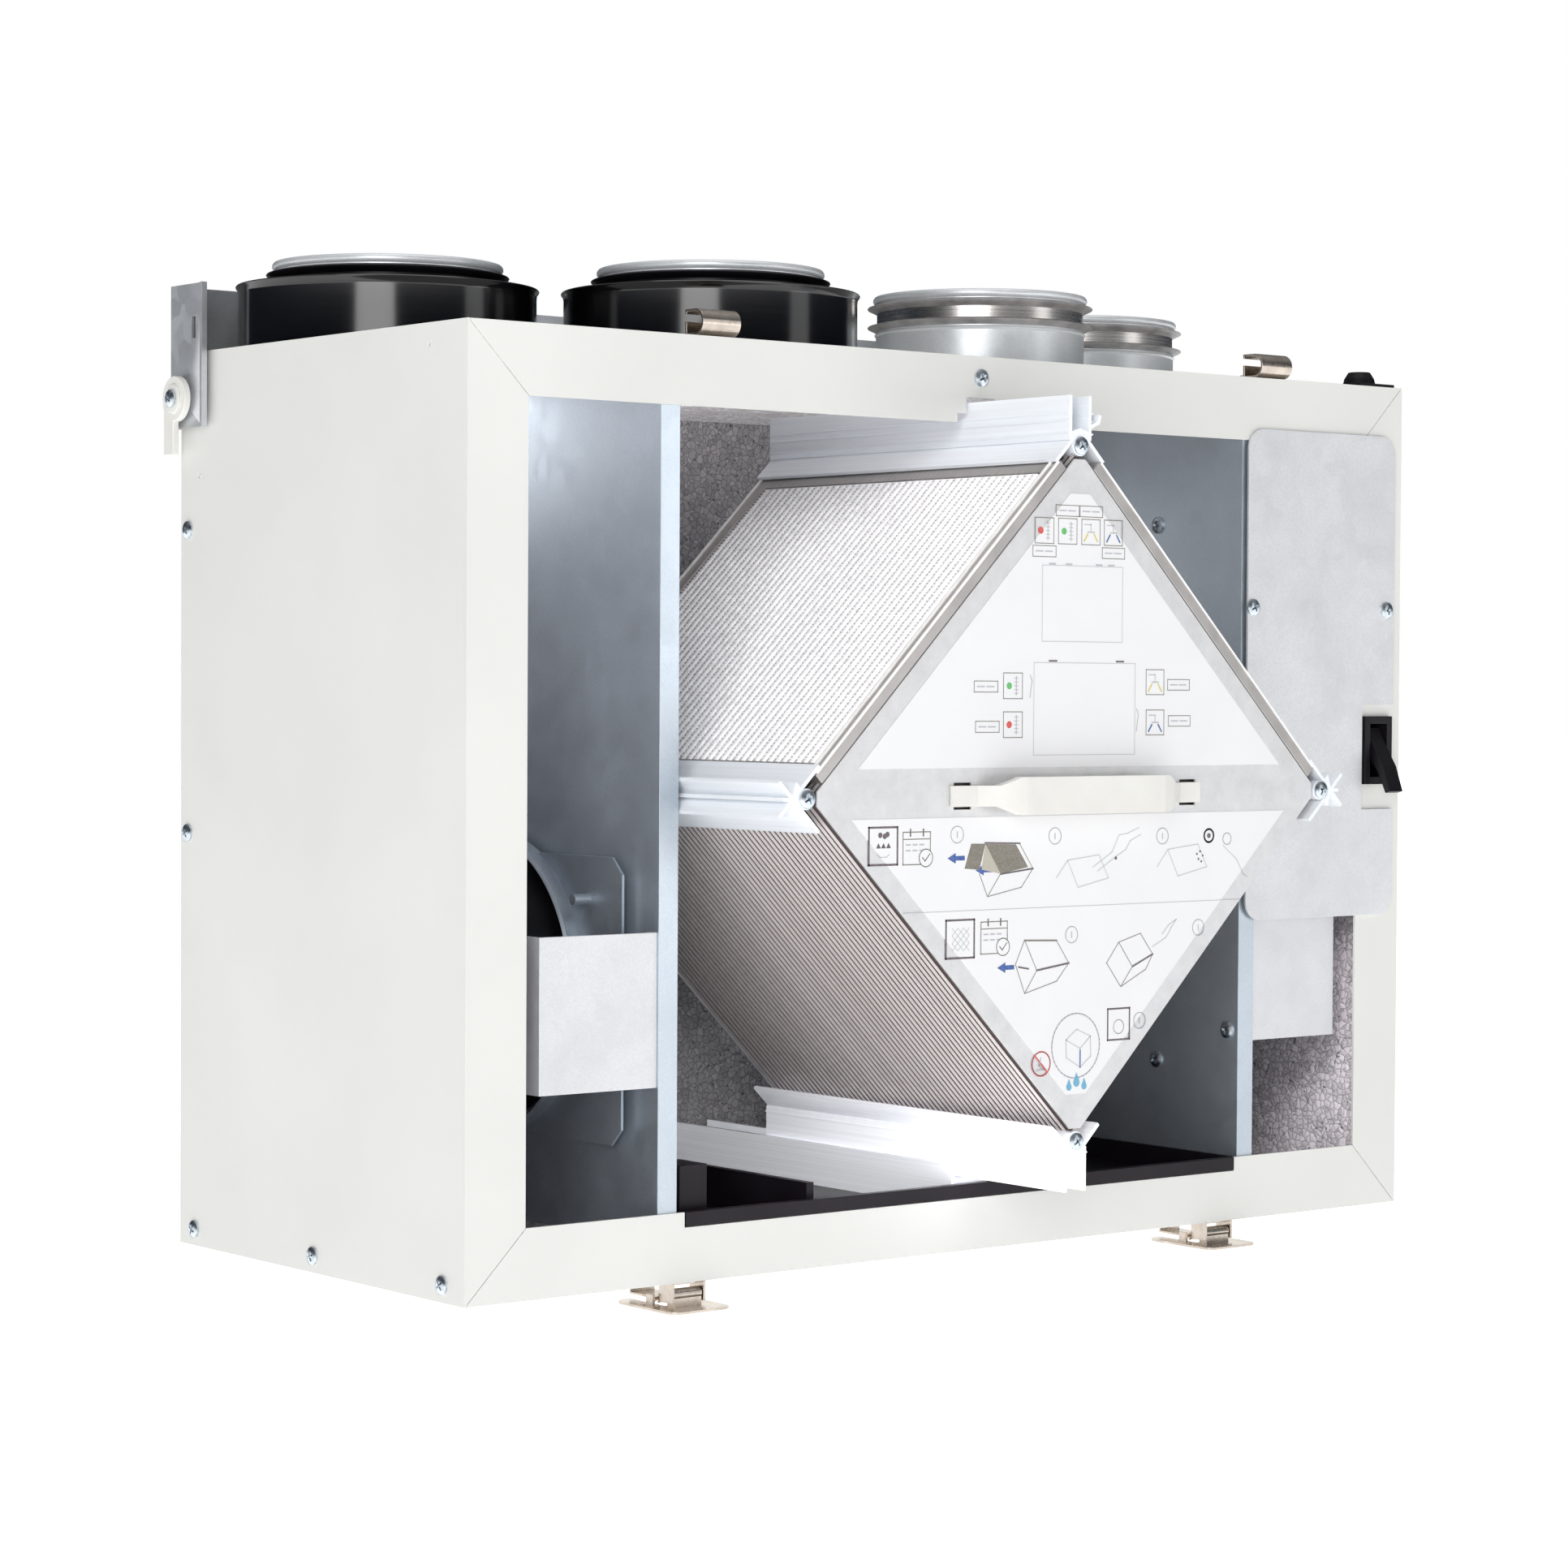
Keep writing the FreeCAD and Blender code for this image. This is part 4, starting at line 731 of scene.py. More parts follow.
def screw_tree():
    """Pan-head cross-slot screws on points, each standing along its point's facing."""
    sizes = {**SCREW_SIZES, "Finish": finish("zinc")}
    tree, source, sink = new_tree("pan_screws", sizes)
    radius, height = source.outputs["Head Radius"], source.outputs["Head Height"]
    disc = add_node(
        tree, "GeometryNodeMeshCylinder", {"fill_type": "TRIANGLE_FAN"}, Vertices=28, Fill_Segments=5,
        Side_Segments=2,
    )
    tree.links.new(radius, disc.inputs["Radius"])
    tree.links.new(height, disc.inputs["Depth"])
    spot = add_node(tree, "GeometryNodeInputPosition").outputs[0]
    parts = add_node(tree, "ShaderNodeSeparateXYZ", Vector=spot)
    flat = vector_math(tree, "MULTIPLY", spot, (1, 1, 0))
    reach = add_node(tree, "ShaderNodeVectorMath", {"operation": "LENGTH"}, i0=flat).outputs["Value"]
    share = number_math(tree, "DIVIDE", reach, radius)
    steep = number_math(tree, "POWER", share, 3.5)
    sag = number_math(tree, "MULTIPLY", steep, number_math(tree, "MULTIPLY", height, -0.55))
    top = number_math(tree, "GREATER_THAN", parts.outputs["Z"], 0.0)
    lift = number_math(
        tree, "ADD", number_math(tree, "MULTIPLY", sag, top), number_math(tree, "MULTIPLY", height, 0.5)
    )
    dome = add_node(
        tree, "GeometryNodeSetPosition", Geometry=disc.outputs[0], Offset=to_vector(tree, z=lift)
    ).outputs[0]
    length, width = source.outputs["Slot Length"], source.outputs["Slot Width"]
    blades = []
    for x, y in ((length, width), (width, length)):
        cube = add_node(tree, "GeometryNodeMeshCube", Size=to_vector(tree, x, y, height)).outputs[0]
        up = to_vector(tree, z=number_math(tree, "MULTIPLY", height, 0.92))
        blades.append(add_node(tree, "GeometryNodeTransform", Geometry=cube, Translation=up).outputs[0])
    cutter = add_node(tree, "GeometryNodeMeshBoolean", {"operation": "UNION"})
    carved = add_node(tree, "GeometryNodeMeshBoolean", {"operation": "DIFFERENCE"})
    for blade in blades:
        tree.links.new(blade, cutter.inputs["Mesh 2"])
    tree.links.new(dome, carved.inputs["Mesh 1"])
    tree.links.new(cutter.outputs[0], carved.inputs["Mesh 2"])
    facing = add_node(
        tree, "GeometryNodeInputNamedAttribute", {"data_type": "FLOAT_VECTOR"}, Name="facing"
    ).outputs[0]
    turn = add_node(tree, "FunctionNodeAlignRotationToVector", {"axis": "Z"}, Vector=facing).outputs[0]
    spin = add_node(tree, "FunctionNodeRandomValue", {"data_type": "FLOAT"}, Seed=4)
    spin.inputs[3].default_value = math.pi
    twist = add_node(tree, "FunctionNodeAxisAngleToRotation", Angle=spin.outputs[1]).outputs[0]
    both = add_node(
        tree, "FunctionNodeRotateRotation", {"rotation_space": "LOCAL"}, Rotation=turn, Rotate_By=twist
    ).outputs[0]
    placed = add_node(
        tree, "GeometryNodeInstanceOnPoints", Points=source.outputs[0], Instance=carved.outputs[0], Rotation=both
    ).outputs[0]
    close_tree(tree, placed, source.outputs["Finish"], sink)
    return tree


def islands(node):
    """The separate solids of a CAD node, each as (lowest corner, highest corner)."""
    form = merged(node)
    seen, found = set(), []
    for start in form.verts:
        if start in seen:
            continue
        group, queue = [], [start]
        seen.add(start)
        while queue:
            vert = queue.pop()
            group.append(vert.co.copy())
            for edge in vert.link_edges:
                other = edge.other_vert(vert)
                if other not in seen:
                    seen.add(other)
                    queue.append(other)
        found.append((Vector(map(min, *group)), Vector(map(max, *group))))
    form.free()
    return found


def screws_from(node, name, tree):
    """Detailed screws where the CAD node's plain ones are, found from each solid's own box."""
    base = bpy.data.meshes.new(name + "_points")
    spots, facings = [], []
    for low, high in islands(node):
        size = high - low
        k = max(range(3), key=lambda i: size[i])
        axis = Vector([1.0 if i == k else 0.0 for i in range(3)])
        middle = (low + high) / 2
        outward = screw_facing(node, middle, axis)
        end = high[k] if outward[k] > 0 else low[k]
        spot = middle.copy()
        spot[k] = end - outward[k] * SCREW_SIZES["Head Height"]
        spots.append(spot)
        facings.append(outward)
    base.from_pydata([tuple(p) for p in spots], [], [])
    attribute = base.attributes.new("facing", "FLOAT_VECTOR", "POINT")
    for item, facing in zip(attribute.data, facings):
        item.vector = facing
    mesh = grown(tree, {"Finish": finish("zinc")}, name, base)
    mesh.shade_smooth()
    mesh.set_sharp_from_angle(angle=math.radians(35))
    return settled(mesh, name, ["zinc"], node, [node])


def screw_facing(node, middle, axis):
    """Which way a screw's head stands: the end whose faces are widest."""
    mesh = frame["nodes"][node].data
    near = [v.co for v in mesh.vertices if (v.co - middle).length < 14 * MM]
    far_out = max(near, key=lambda p: ((p - middle) - axis * (p - middle).dot(axis)).length)
    return axis if (far_out - middle).dot(axis) > 0 else -axis


# ---------------------------------------------------------------- operators
class BuildCasing(bpy.types.Operator):
    """Painted panels with rounded folds, foam lining, partitions and covers"""

    bl_idname = "heat_unit.casing"
    bl_label = "Casing and lining"

    def execute(self, context):
        fold = context.scene.heat_casing.fold_radius
        for node in ("casing_left_side", "casing_right_side", "casing_top", "casing_bottom"):
            softened(node, "casing_paint", fold, 3)
        repaint("casing_back", "casing_paint")
        for node in ("insulation_ceiling", "insulation_floor", "insulation_back"):
            repaint(node, "foam")
        repaint("insulation_sides", "violet_foam")
        for node in ("left_partition", "right_partition", "exhaust_fan_plate", "supply_fan_plate"):
            softened(node, "galvanised", 0.4 * MM)
        for node in ("electronics_cover", "electronics_box", "left_terminal_cover"):
            softened(node, "cover_zinc", 0.3 * MM)
        softened("wall_rail", "rail_zinc", 0.3 * MM)
        return {"FINISHED"}


class BuildTray(bpy.types.Operator):
    """Condensate tray and the guide rail on its floor"""

    bl_idname = "heat_unit.tray"
    bl_label = "Tray and guide rail"

    def execute(self, context):
        softened("drip_tray", "tray_black", 0.5 * MM)
        softened("guide_rail", "rail_aluminium", 0.4 * MM)
        return {"FINISHED"}


class BuildFans(bpy.types.Operator):
    """Fan housings, motors and bladed wheels"""

    bl_idname = "heat_unit.fans"
    bl_label = "Fans"

    def execute(self, context):
        for side in ("supply", "exhaust"):
            softened(side + "_fan_shroud", "black_plastic", 0.6 * MM)
            softened(side + "_fan_motor", "motor_steel", 0.5 * MM)
            softened(side + "_fan_impeller", "fan_grey", 0.3 * MM)
        return {"FINISHED"}


class BuildElectronics(bpy.types.Operator):
    """Control board inside its box"""

    bl_idname = "heat_unit.electronics"
    bl_label = "Electronics"

    def execute(self, context):
        repaint("circuit_board", "board_green")
        return {"FINISHED"}


class BuildDoorCatch(bpy.types.Operator):
    """Door catch bezel, its tongue and the cable gland"""

    bl_idname = "heat_unit.door_catch"
    bl_label = "Door catch and gland"

    def execute(self, context):
        softened("door_catch_bezel", "black_plastic", 0.5 * MM)
        softened("door_catch_tongue", "black_plastic", 0.6 * MM, 3)
        softened("cable_gland", "black_plastic", 0.5 * MM)
        return {"FINISHED"}


SLEEVED = ("exhaust", "outdoor")


def ring_piece(node, name, outline, finish_name, centre, replaced=(), angle=30.0):
    """An outline of (radius, height) pairs in mm turned about a vertical axis, as a finished piece."""
    form = bmesh.new()
    lathe(form, [(r * MM, h * MM) for r, h in outline], centre)
    return settled(smooth_mesh(form, name, angle), name, [finish_name], node, replaced)


class BuildSpigots(bpy.types.Operator):
    """Duct spigots with their lip seals, and the black sleeves round the two cold ones"""

    bl_idname = "heat_unit.spigots"
    bl_label = "Spigots and sleeves"

    def execute(self, context):
        wall = [(60.95, 0), (68.7, 0), (68.7, 0.8), (62.8, 0.8), (62.0, 1.4), (61.75, 2.2), (61.75, 24.6)]
        wall += [(62.5, 25.2), (62.6, 25.8), (61.9, 26.4), (61.9, 27.0), (61.75, 28.6), (60.95, 28.6)]
        band = [(60.95, 28.6), (61.15, 28.6), (61.15, 41.4), (60.95, 41.4)]
        cap = [
            (60.95, 41.0), (61.6, 41.0), (61.8, 43.4), (62.8, 44.0), (63.5, 45.4), (63.4, 46.8), (62.6, 47.9),
            (61.6, 48.0),
        ]
        cap += [(60.95, 47.4)]
        lip = [(61.1, -3.0), (64.0, -1.5), (66.6, -0.3), (66.8, 0.1), (66.5, 0.5), (64.0, 1.2), (61.1, 1.8)]
        seals = bmesh.new()
        for name in ("exhaust", "outdoor", "extract", "supply"):
            sleeved = name in SLEEVED
            node = name + "_spigot"
            low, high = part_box(node)
            centre = Vector(((low.x + high.x) / 2, (low.y + high.y) / 2, low.z))
            ring_piece(node, name + "_spigot_wall", wall, "spigot_tin", centre, [node], 50.0)
            ring_piece(
                node, name + "_spigot_band", band, "black_plastic" if sleeved else "polished_band", centre
            )
            ring_piece(node, name + "_spigot_cap", cap, "spigot_tin", centre, (), 50.0)
            for height in (30.0, 41.2):
                outline = [(r * MM, (h + height) * MM) for r, h in lip]
                lathe(seals, outline, centre, material=int(sleeved))
        mesh = smooth_mesh(seals, "lip_seals", 40.0)
        settled(mesh, "lip_seals", ["seal_rubber", "black_plastic"], "spigot_seals", ["spigot_seals"])
        sleeve = [
            (63.75, 27.6), (68, 28.4), (72, 27.4), (76, 28.2), (79.2, 27.6), (80.0, 28.6), (80.2, 33.4),
            (81.4, 34.6),
        ]
        sleeve += [
            (82.9, 34.8), (83.4, 34.2), (83.1, 33.4), (82.2, 32.4), (81.9, 30.0), (82.0, 0.2), (80.2, 0.2)
        ]
        sleeve += [(80.0, 25.6), (63.75, 25.6)]
        for name in SLEEVED:
            low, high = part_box(name + "_sleeve")
            centre = Vector(((low.x + high.x) / 2, (low.y + high.y) / 2, low.z))
            ring_piece(
                name + "_sleeve", name + "_collar", sleeve, "gloss_black", centre, [name + "_sleeve"], 40.0
            )
        return {"FINISHED"}


def stacked(tree, source, sink, solids):
    """Turns joined solids onto their edge and repeats them every pitch along Y."""
    join = tree.nodes.new("GeometryNodeJoinGeometry")
    for solid in solids:
        tree.links.new(solid, join.inputs[0])
    tilted = add_node(
        tree, "GeometryNodeTransform", Geometry=join.outputs[0], Rotation=(0, math.radians(45), 0)
    ).outputs[0]
    offset = to_vector(tree, y=source.outputs["Pitch"])
    line = add_node(tree, "GeometryNodeMeshLine", Count=source.outputs["Count"], Offset=offset).outputs[0]
    placed = add_node(tree, "GeometryNodeInstanceOnPoints", Points=line, Instance=tilted).outputs[0]
    close_tree(tree, placed, source.outputs["Finish"], sink)
    return tree


def block_at(tree, size, spot):
    cube = add_node(tree, "GeometryNodeMeshCube", Size=size).outputs[0]
    return add_node(tree, "GeometryNodeTransform", Geometry=cube, Translation=spot).outputs[0]


def plate_tree():
    """Square plates in pairs, one pair every pitch along Y."""
    sizes = {
        "Count": 56, "Pitch": 4.5 * MM, "Side": 0.256, "Thickness": 0.45 * MM, "Finish": finish("core_shadow")
    }
    tree, source, sink = new_tree("core_plates", sizes)
    side, thick, pitch = (source.outputs[k] for k in ("Side", "Thickness", "Pitch"))
    plate = to_vector(tree, side, thick, side)
    spots = [to_vector(tree, y=number_math(tree, "MULTIPLY", pitch, share)) for share in (0.0, 0.5)]
    return stacked(tree, source, sink, [block_at(tree, plate, spot) for spot in spots])


def hem_tree():
    """Folded hems that close every second gap on one pair of faces and the other gaps on the other pair."""
    sizes = {
        "Count": 56, "Pitch": 4.5 * MM, "Side": 0.256, "Hem": 0.3 * MM, "Share": 0.60,
        "Finish": finish("core_aluminium"),
    }
    tree, source, sink = new_tree("core_hems", sizes)
    side, pitch, hem = (source.outputs[k] for k in ("Side", "Pitch", "Hem"))
    reach = number_math(tree, "MULTIPLY", number_math(tree, "SUBTRACT", side, hem), 0.5)
    wide = number_math(tree, "MULTIPLY", pitch, source.outputs["Share"])
    solids = []
    for sign in (-1.0, 1.0):
        out = number_math(tree, "MULTIPLY", reach, sign)
        near = number_math(tree, "MULTIPLY", pitch, 0.25)
        far = number_math(tree, "MULTIPLY", pitch, 0.75)
        solids.append(block_at(tree, to_vector(tree, hem, wide, side), to_vector(tree, out, near)))
        solids.append(block_at(tree, to_vector(tree, side, wide, hem), to_vector(tree, 0.0, far, out)))
    return stacked(tree, source, sink, solids)


def rib_mesh_tree():
    """Rounded ribs down the filter's face over thin cross wires."""
    sizes = {
        "Ribs": 40,
        "Wires": 100,
        "Rib Pitch": 5.8 * MM,
        "Wire Pitch": 2.3 * MM,
        "Wire": 0.8 * MM,
        "Run": 0.23,
        "Width": 0.23,
        "Finish": finish("mesh_strand"),
    }
    tree, source, sink = new_tree("rib_mesh", sizes)
    out = source.outputs
    rib = add_node(tree, "GeometryNodeMeshCylinder", Vertices=10)
    tree.links.new(number_math(tree, "MULTIPLY", out["Rib Pitch"], 0.34), rib.inputs["Radius"])
    tree.links.new(out["Run"], rib.inputs["Depth"])
    flat = number_math(tree, "MULTIPLY", out["Run"], 0.5)
    lying = add_node(
        tree, "GeometryNodeTransform", Geometry=rib.outputs[0], Rotation=(0, math.radians(90), 0)
    ).outputs[0]
    low = add_node(
        tree, "GeometryNodeTransform", Geometry=lying, Translation=to_vector(tree, flat), Scale=(1, 1, 0.42)
    ).outputs[0]
    rib_line = add_node(
        tree, "GeometryNodeMeshLine", Count=out["Ribs"], Offset=to_vector(tree, y=out["Rib Pitch"])
    ).outputs[0]
    ribs = add_node(tree, "GeometryNodeInstanceOnPoints", Points=rib_line, Instance=low).outputs[0]
    across = number_math(tree, "MULTIPLY", out["Width"], 0.5)
    wire = block_at(tree, to_vector(tree, out["Wire"], out["Width"], out["Wire"]), to_vector(tree, 0.0, across))
    wire_line = add_node(
        tree, "GeometryNodeMeshLine", Count=out["Wires"], Offset=to_vector(tree, out["Wire Pitch"])
    ).outputs[0]
    wires = add_node(tree, "GeometryNodeInstanceOnPoints", Points=wire_line, Instance=wire).outputs[0]
    join = tree.nodes.new("GeometryNodeJoinGeometry")
    tree.links.new(ribs, join.inputs[0])
    tree.links.new(wires, join.inputs[0])
    close_tree(tree, join.outputs[0], out["Finish"], sink)
    return tree


class BuildExchanger(bpy.types.Operator):
    """Plate stack, end plates, corner profiles and strap handle"""

    bl_idname = "heat_unit.exchanger"
    bl_label = "Exchanger"

    def execute(self, context):
        settings = context.scene.heat_exchanger
        low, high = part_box("exchanger_core")
        side = ((high.x - low.x) / 2 + 12 * MM) * math.sqrt(2) - 4 * MM
        count = int((high.y - low.y) / settings.plate_pitch)
        sizes = {
            "Count": count, "Pitch": settings.plate_pitch, "Side": side, "Finish": finish("core_aluminium")
        }
        start = low.y + ((high.y - low.y) - (count - 0.25) * settings.plate_pitch) / 2
        middle = Matrix.Translation(((low.x + high.x) / 2, start, (low.z + high.z) / 2))
        inner = {
            **sizes, "Side": side - 0.8 * MM, "Thickness": settings.plate_thick, "Finish": finish("core_shadow")
        }
        plates = grown(plate_tree(), inner, "core_plates")
        plates.transform(middle)
        settled(plates, "plate_stack_plates", ["core_shadow"], "exchanger_core", ["exchanger_core"])
        hems = grown(hem_tree(), sizes, "core_hems")
        hems.transform(middle)
        settled(hems, "plate_stack_hems", ["core_aluminium"], "exchanger_core")
        for node in ("exchanger_front_plate", "exchanger_back_plate"):
            softened(node, "plate_aluminium", 0.3 * MM)
        for node in ("top_profile", "left_profile", "right_profile"):
            softened(node, "white_plastic", 0.5 * MM)
        softened("bottom_profile", "rail_aluminium", 0.5 * MM)
        low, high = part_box("top_profile")
        form = bmesh.new()
        outer = (low.x + high.x) / 2 - 8.6 * MM
        for depth, tall in ((9.0, 0.8), (13.5, 0.5), (20.0, 0.9)):
            for reach in (0.0, 16.6 * MM + 0.6 * MM):
                base = (outer + reach, low.y + 0.3 * MM, high.z - (depth + tall) * MM)
                slab(form, base, (base[0] + 0.9 * MM, high.y - 0.3 * MM, base[2] + tall * MM))
        settled(smooth_mesh(form, "profile_ribs"), "profile_ribs", ["white_plastic"], "top_profile")
        softened("handle_strap", "handle_plastic", 1.2 * MM, 4)
        return {"FINISHED"}


class BuildFilters(bpy.types.Operator):
    """Filter frames with their fleece and expanded mesh"""

    bl_idname = "heat_unit.filters"
    bl_label = "Filters"

    def execute(self, context):
        settings = context.scene.heat_exchanger
        tree = rib_mesh_tree()
        for side, sign in (("left", -1), ("right", 1)):
            softened(side + "_filter_frame", "frame_aluminium", 0.4 * MM)
            softened(side + "_filter_media", "filter_cloth", 0.2 * MM)
            low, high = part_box(side + "_filter_media")
            run = (high.z - low.z) * math.sqrt(2) - 4.5 * MM
            width = high.y - low.y
            ribs = int(width / settings.mesh_along)
            sizes = {
                "Ribs": ribs,
                "Wires": int(run / settings.mesh_down),
                "Rib Pitch": settings.mesh_along,
                "Wire Pitch": settings.mesh_down,
                "Wire": settings.strand,
                "Run": run,
                "Width": width - 2 * MM,
                "Finish": finish("mesh_strand"),
            }
            mesh = grown(tree, sizes, side + "_filter_mesh")
            margin = (width - (ribs - 1) * settings.mesh_along) / 2
            tilt = Matrix.Rotation(math.radians(45), 4, "Y")
            top = Vector((low.x if sign > 0 else -high.x, low.y + margin, high.z))
            normal = Vector((1, 0, 1)).normalized()
            along = Vector((1, 0, -1)).normalized()
            start = top + normal * (0.4 * MM) + Vector((3 * MM, 0, -0.5 * MM))
            mesh.transform(Matrix.Translation(start) @ tilt)
            form = bmesh.new()
            for edge in (low.y - 9.4 * MM, low.y - 3.4 * MM, high.y + 8.4 * MM):
                base = start + normal * (1.0 * MM) - along * (8 * MM)
                base.y = edge
                beam = slab(form, (0, 0, 0), (run + 16 * MM, 1.3 * MM, 1.0 * MM))
                bmesh.ops.transform(form, matrix=Matrix.Translation(base) @ tilt, verts=beam)
            edging = smooth_mesh(form, side + "_filter_edging")
            if sign < 0:
                for each in (mesh, edging):
                    each.transform(Matrix.Diagonal((-1, 1, 1, 1)))
                    each.flip_normals()
            settled(mesh, side + "_filter_mesh", ["mesh_strand"], side + "_filter_media")
            settled(edging, side + "_filter_edging", ["bright_aluminium"], side + "_filter_frame")
        return {"FINISHED"}


class BuildScrews(bpy.types.Operator):
    """Cross-slot pan-head screws in the casing and in the exchanger"""

    bl_idname = "heat_unit.screws"
    bl_label = "Screws"

    def execute(self, context):
        tree = screw_tree()
        screws_from("casing_screws", "casing_pan_screws", tree)
        screws_from("exchanger_screws", "exchanger_pan_screws", tree)
        return {"FINISHED"}


def ribbon(form, start, end, width, front, material):
    """A thin printed bar from start to end, both (x, z) in mm."""
    a, b = (Vector((x * MM, 0, z * MM)) for x, z in (start, end))
    ahead = (b - a).normalized()
    side = ahead.cross(Y_AXIS) * (width * MM / 2)
    ahead = ahead * (width * MM / 2)
    outline = [a - ahead + side, b + ahead + side, b + ahead - side, a - ahead - side]
    extruded(form, outline, front - PRINT_THICK, front, material)


def circle_points(x, z, r, steps=24):
    return [
        (x + r * math.cos(2 * math.pi * k / steps), z + r * math.sin(2 * math.pi * k / steps))
        for k in range(steps)
    ]


def frame_points(x0, z0, x1, z1):
    return [(x0, z0), (x1, z0), (x1, z1), (x0, z1), (x0, z0)]


def drawing_upper():
    """Airflow key: four duct icons over two plan views of the unit, with their legends."""
    art = []
    icons = [
        (-25.7, 139, "ink_red"), (-9.0, 139, "ink_green"), (7.9, 139, "ink_yellow"), (24.4, 139, "ink_blue")
    ]
    icons += [
        (-47.5, 56.2, "ink_green"), (-47.4, 35.6, "ink_red"), (56.4, 58.6, "ink_yellow"),
        (56.6, 36.6, "ink_blue"),
    ]
    for x, z, color in icons:
        art.append(("ink_taupe", 0.45, frame_points(x - 6.7, z - 6.8, x + 6.7, z + 6.8)))
        if color in ("ink_red", "ink_green"):
            art.append((color, 0, circle_points(x - 2.6, z, 1.9, 12)))
            art.append(("ink_fine", 0.7, [(x + 2.4, z - 4.8), (x + 2.4, z + 4.8)]))
            art += [("ink_fine", 0.4, [(x + 1.0, z + k), (x + 3.8, z + k)]) for k in (-4, -2, 0, 2, 4)]
        else:
            art.append(("ink_fine", 0.5, [(x - 4.6, z + 4.0), (x, z + 4.0), (x, z + 0.4)]))
            art.append(("ink_fine", 0.7, [(x - 2.2, z), (x + 2.6, z)]))
            art += [(color, 0.9, [(x + side * 2.4, z - 1.2), (x + side * 4.8, z - 4.8)]) for side in (-1, 1)]
    legends = [
        (-9.1, 150), (8.1, 150), (-25.7, 128), (24.6, 128), (-66.5, 55.7), (-65.4, 34.5), (74.2, 57.2),
        (75.0, 37.4),
    ]
    for x, z in legends:
        art.append(("ink_taupe", 0.4, frame_points(x - 8.3, z - 2.9, x + 8.3, z + 2.9)))
        art += [("ink_fine", 0.7, [(x + a, z), (x + b, z)]) for a, b in ((-6.0, -1.2), (0.6, 5.6))]
    art.append(("ink_fine", 0.28, frame_points(-27.0, 80.0, 31.6, 120.6)))
    art += [("ink_fine", 0.9, [(x - 2, 121.4), (x + 2, 121.4)]) for x in (-20, -8, 14, 23)]
    art.append(("ink_fine", 0.28, frame_points(-32.6, 19.4, 41.4, 68.6)))
    art += [("ink_dark", 0.9, [(x - 2.6, 69.6), (x + 2.6, 69.6)]) for x in (-19, 30)]
    art += [("ink_fine", 0.5, [(x, z), (x + 1.4, z - 3), (x, z - 12)]) for x, z in ((-35.4, 62), (42.6, 44))]
    return art


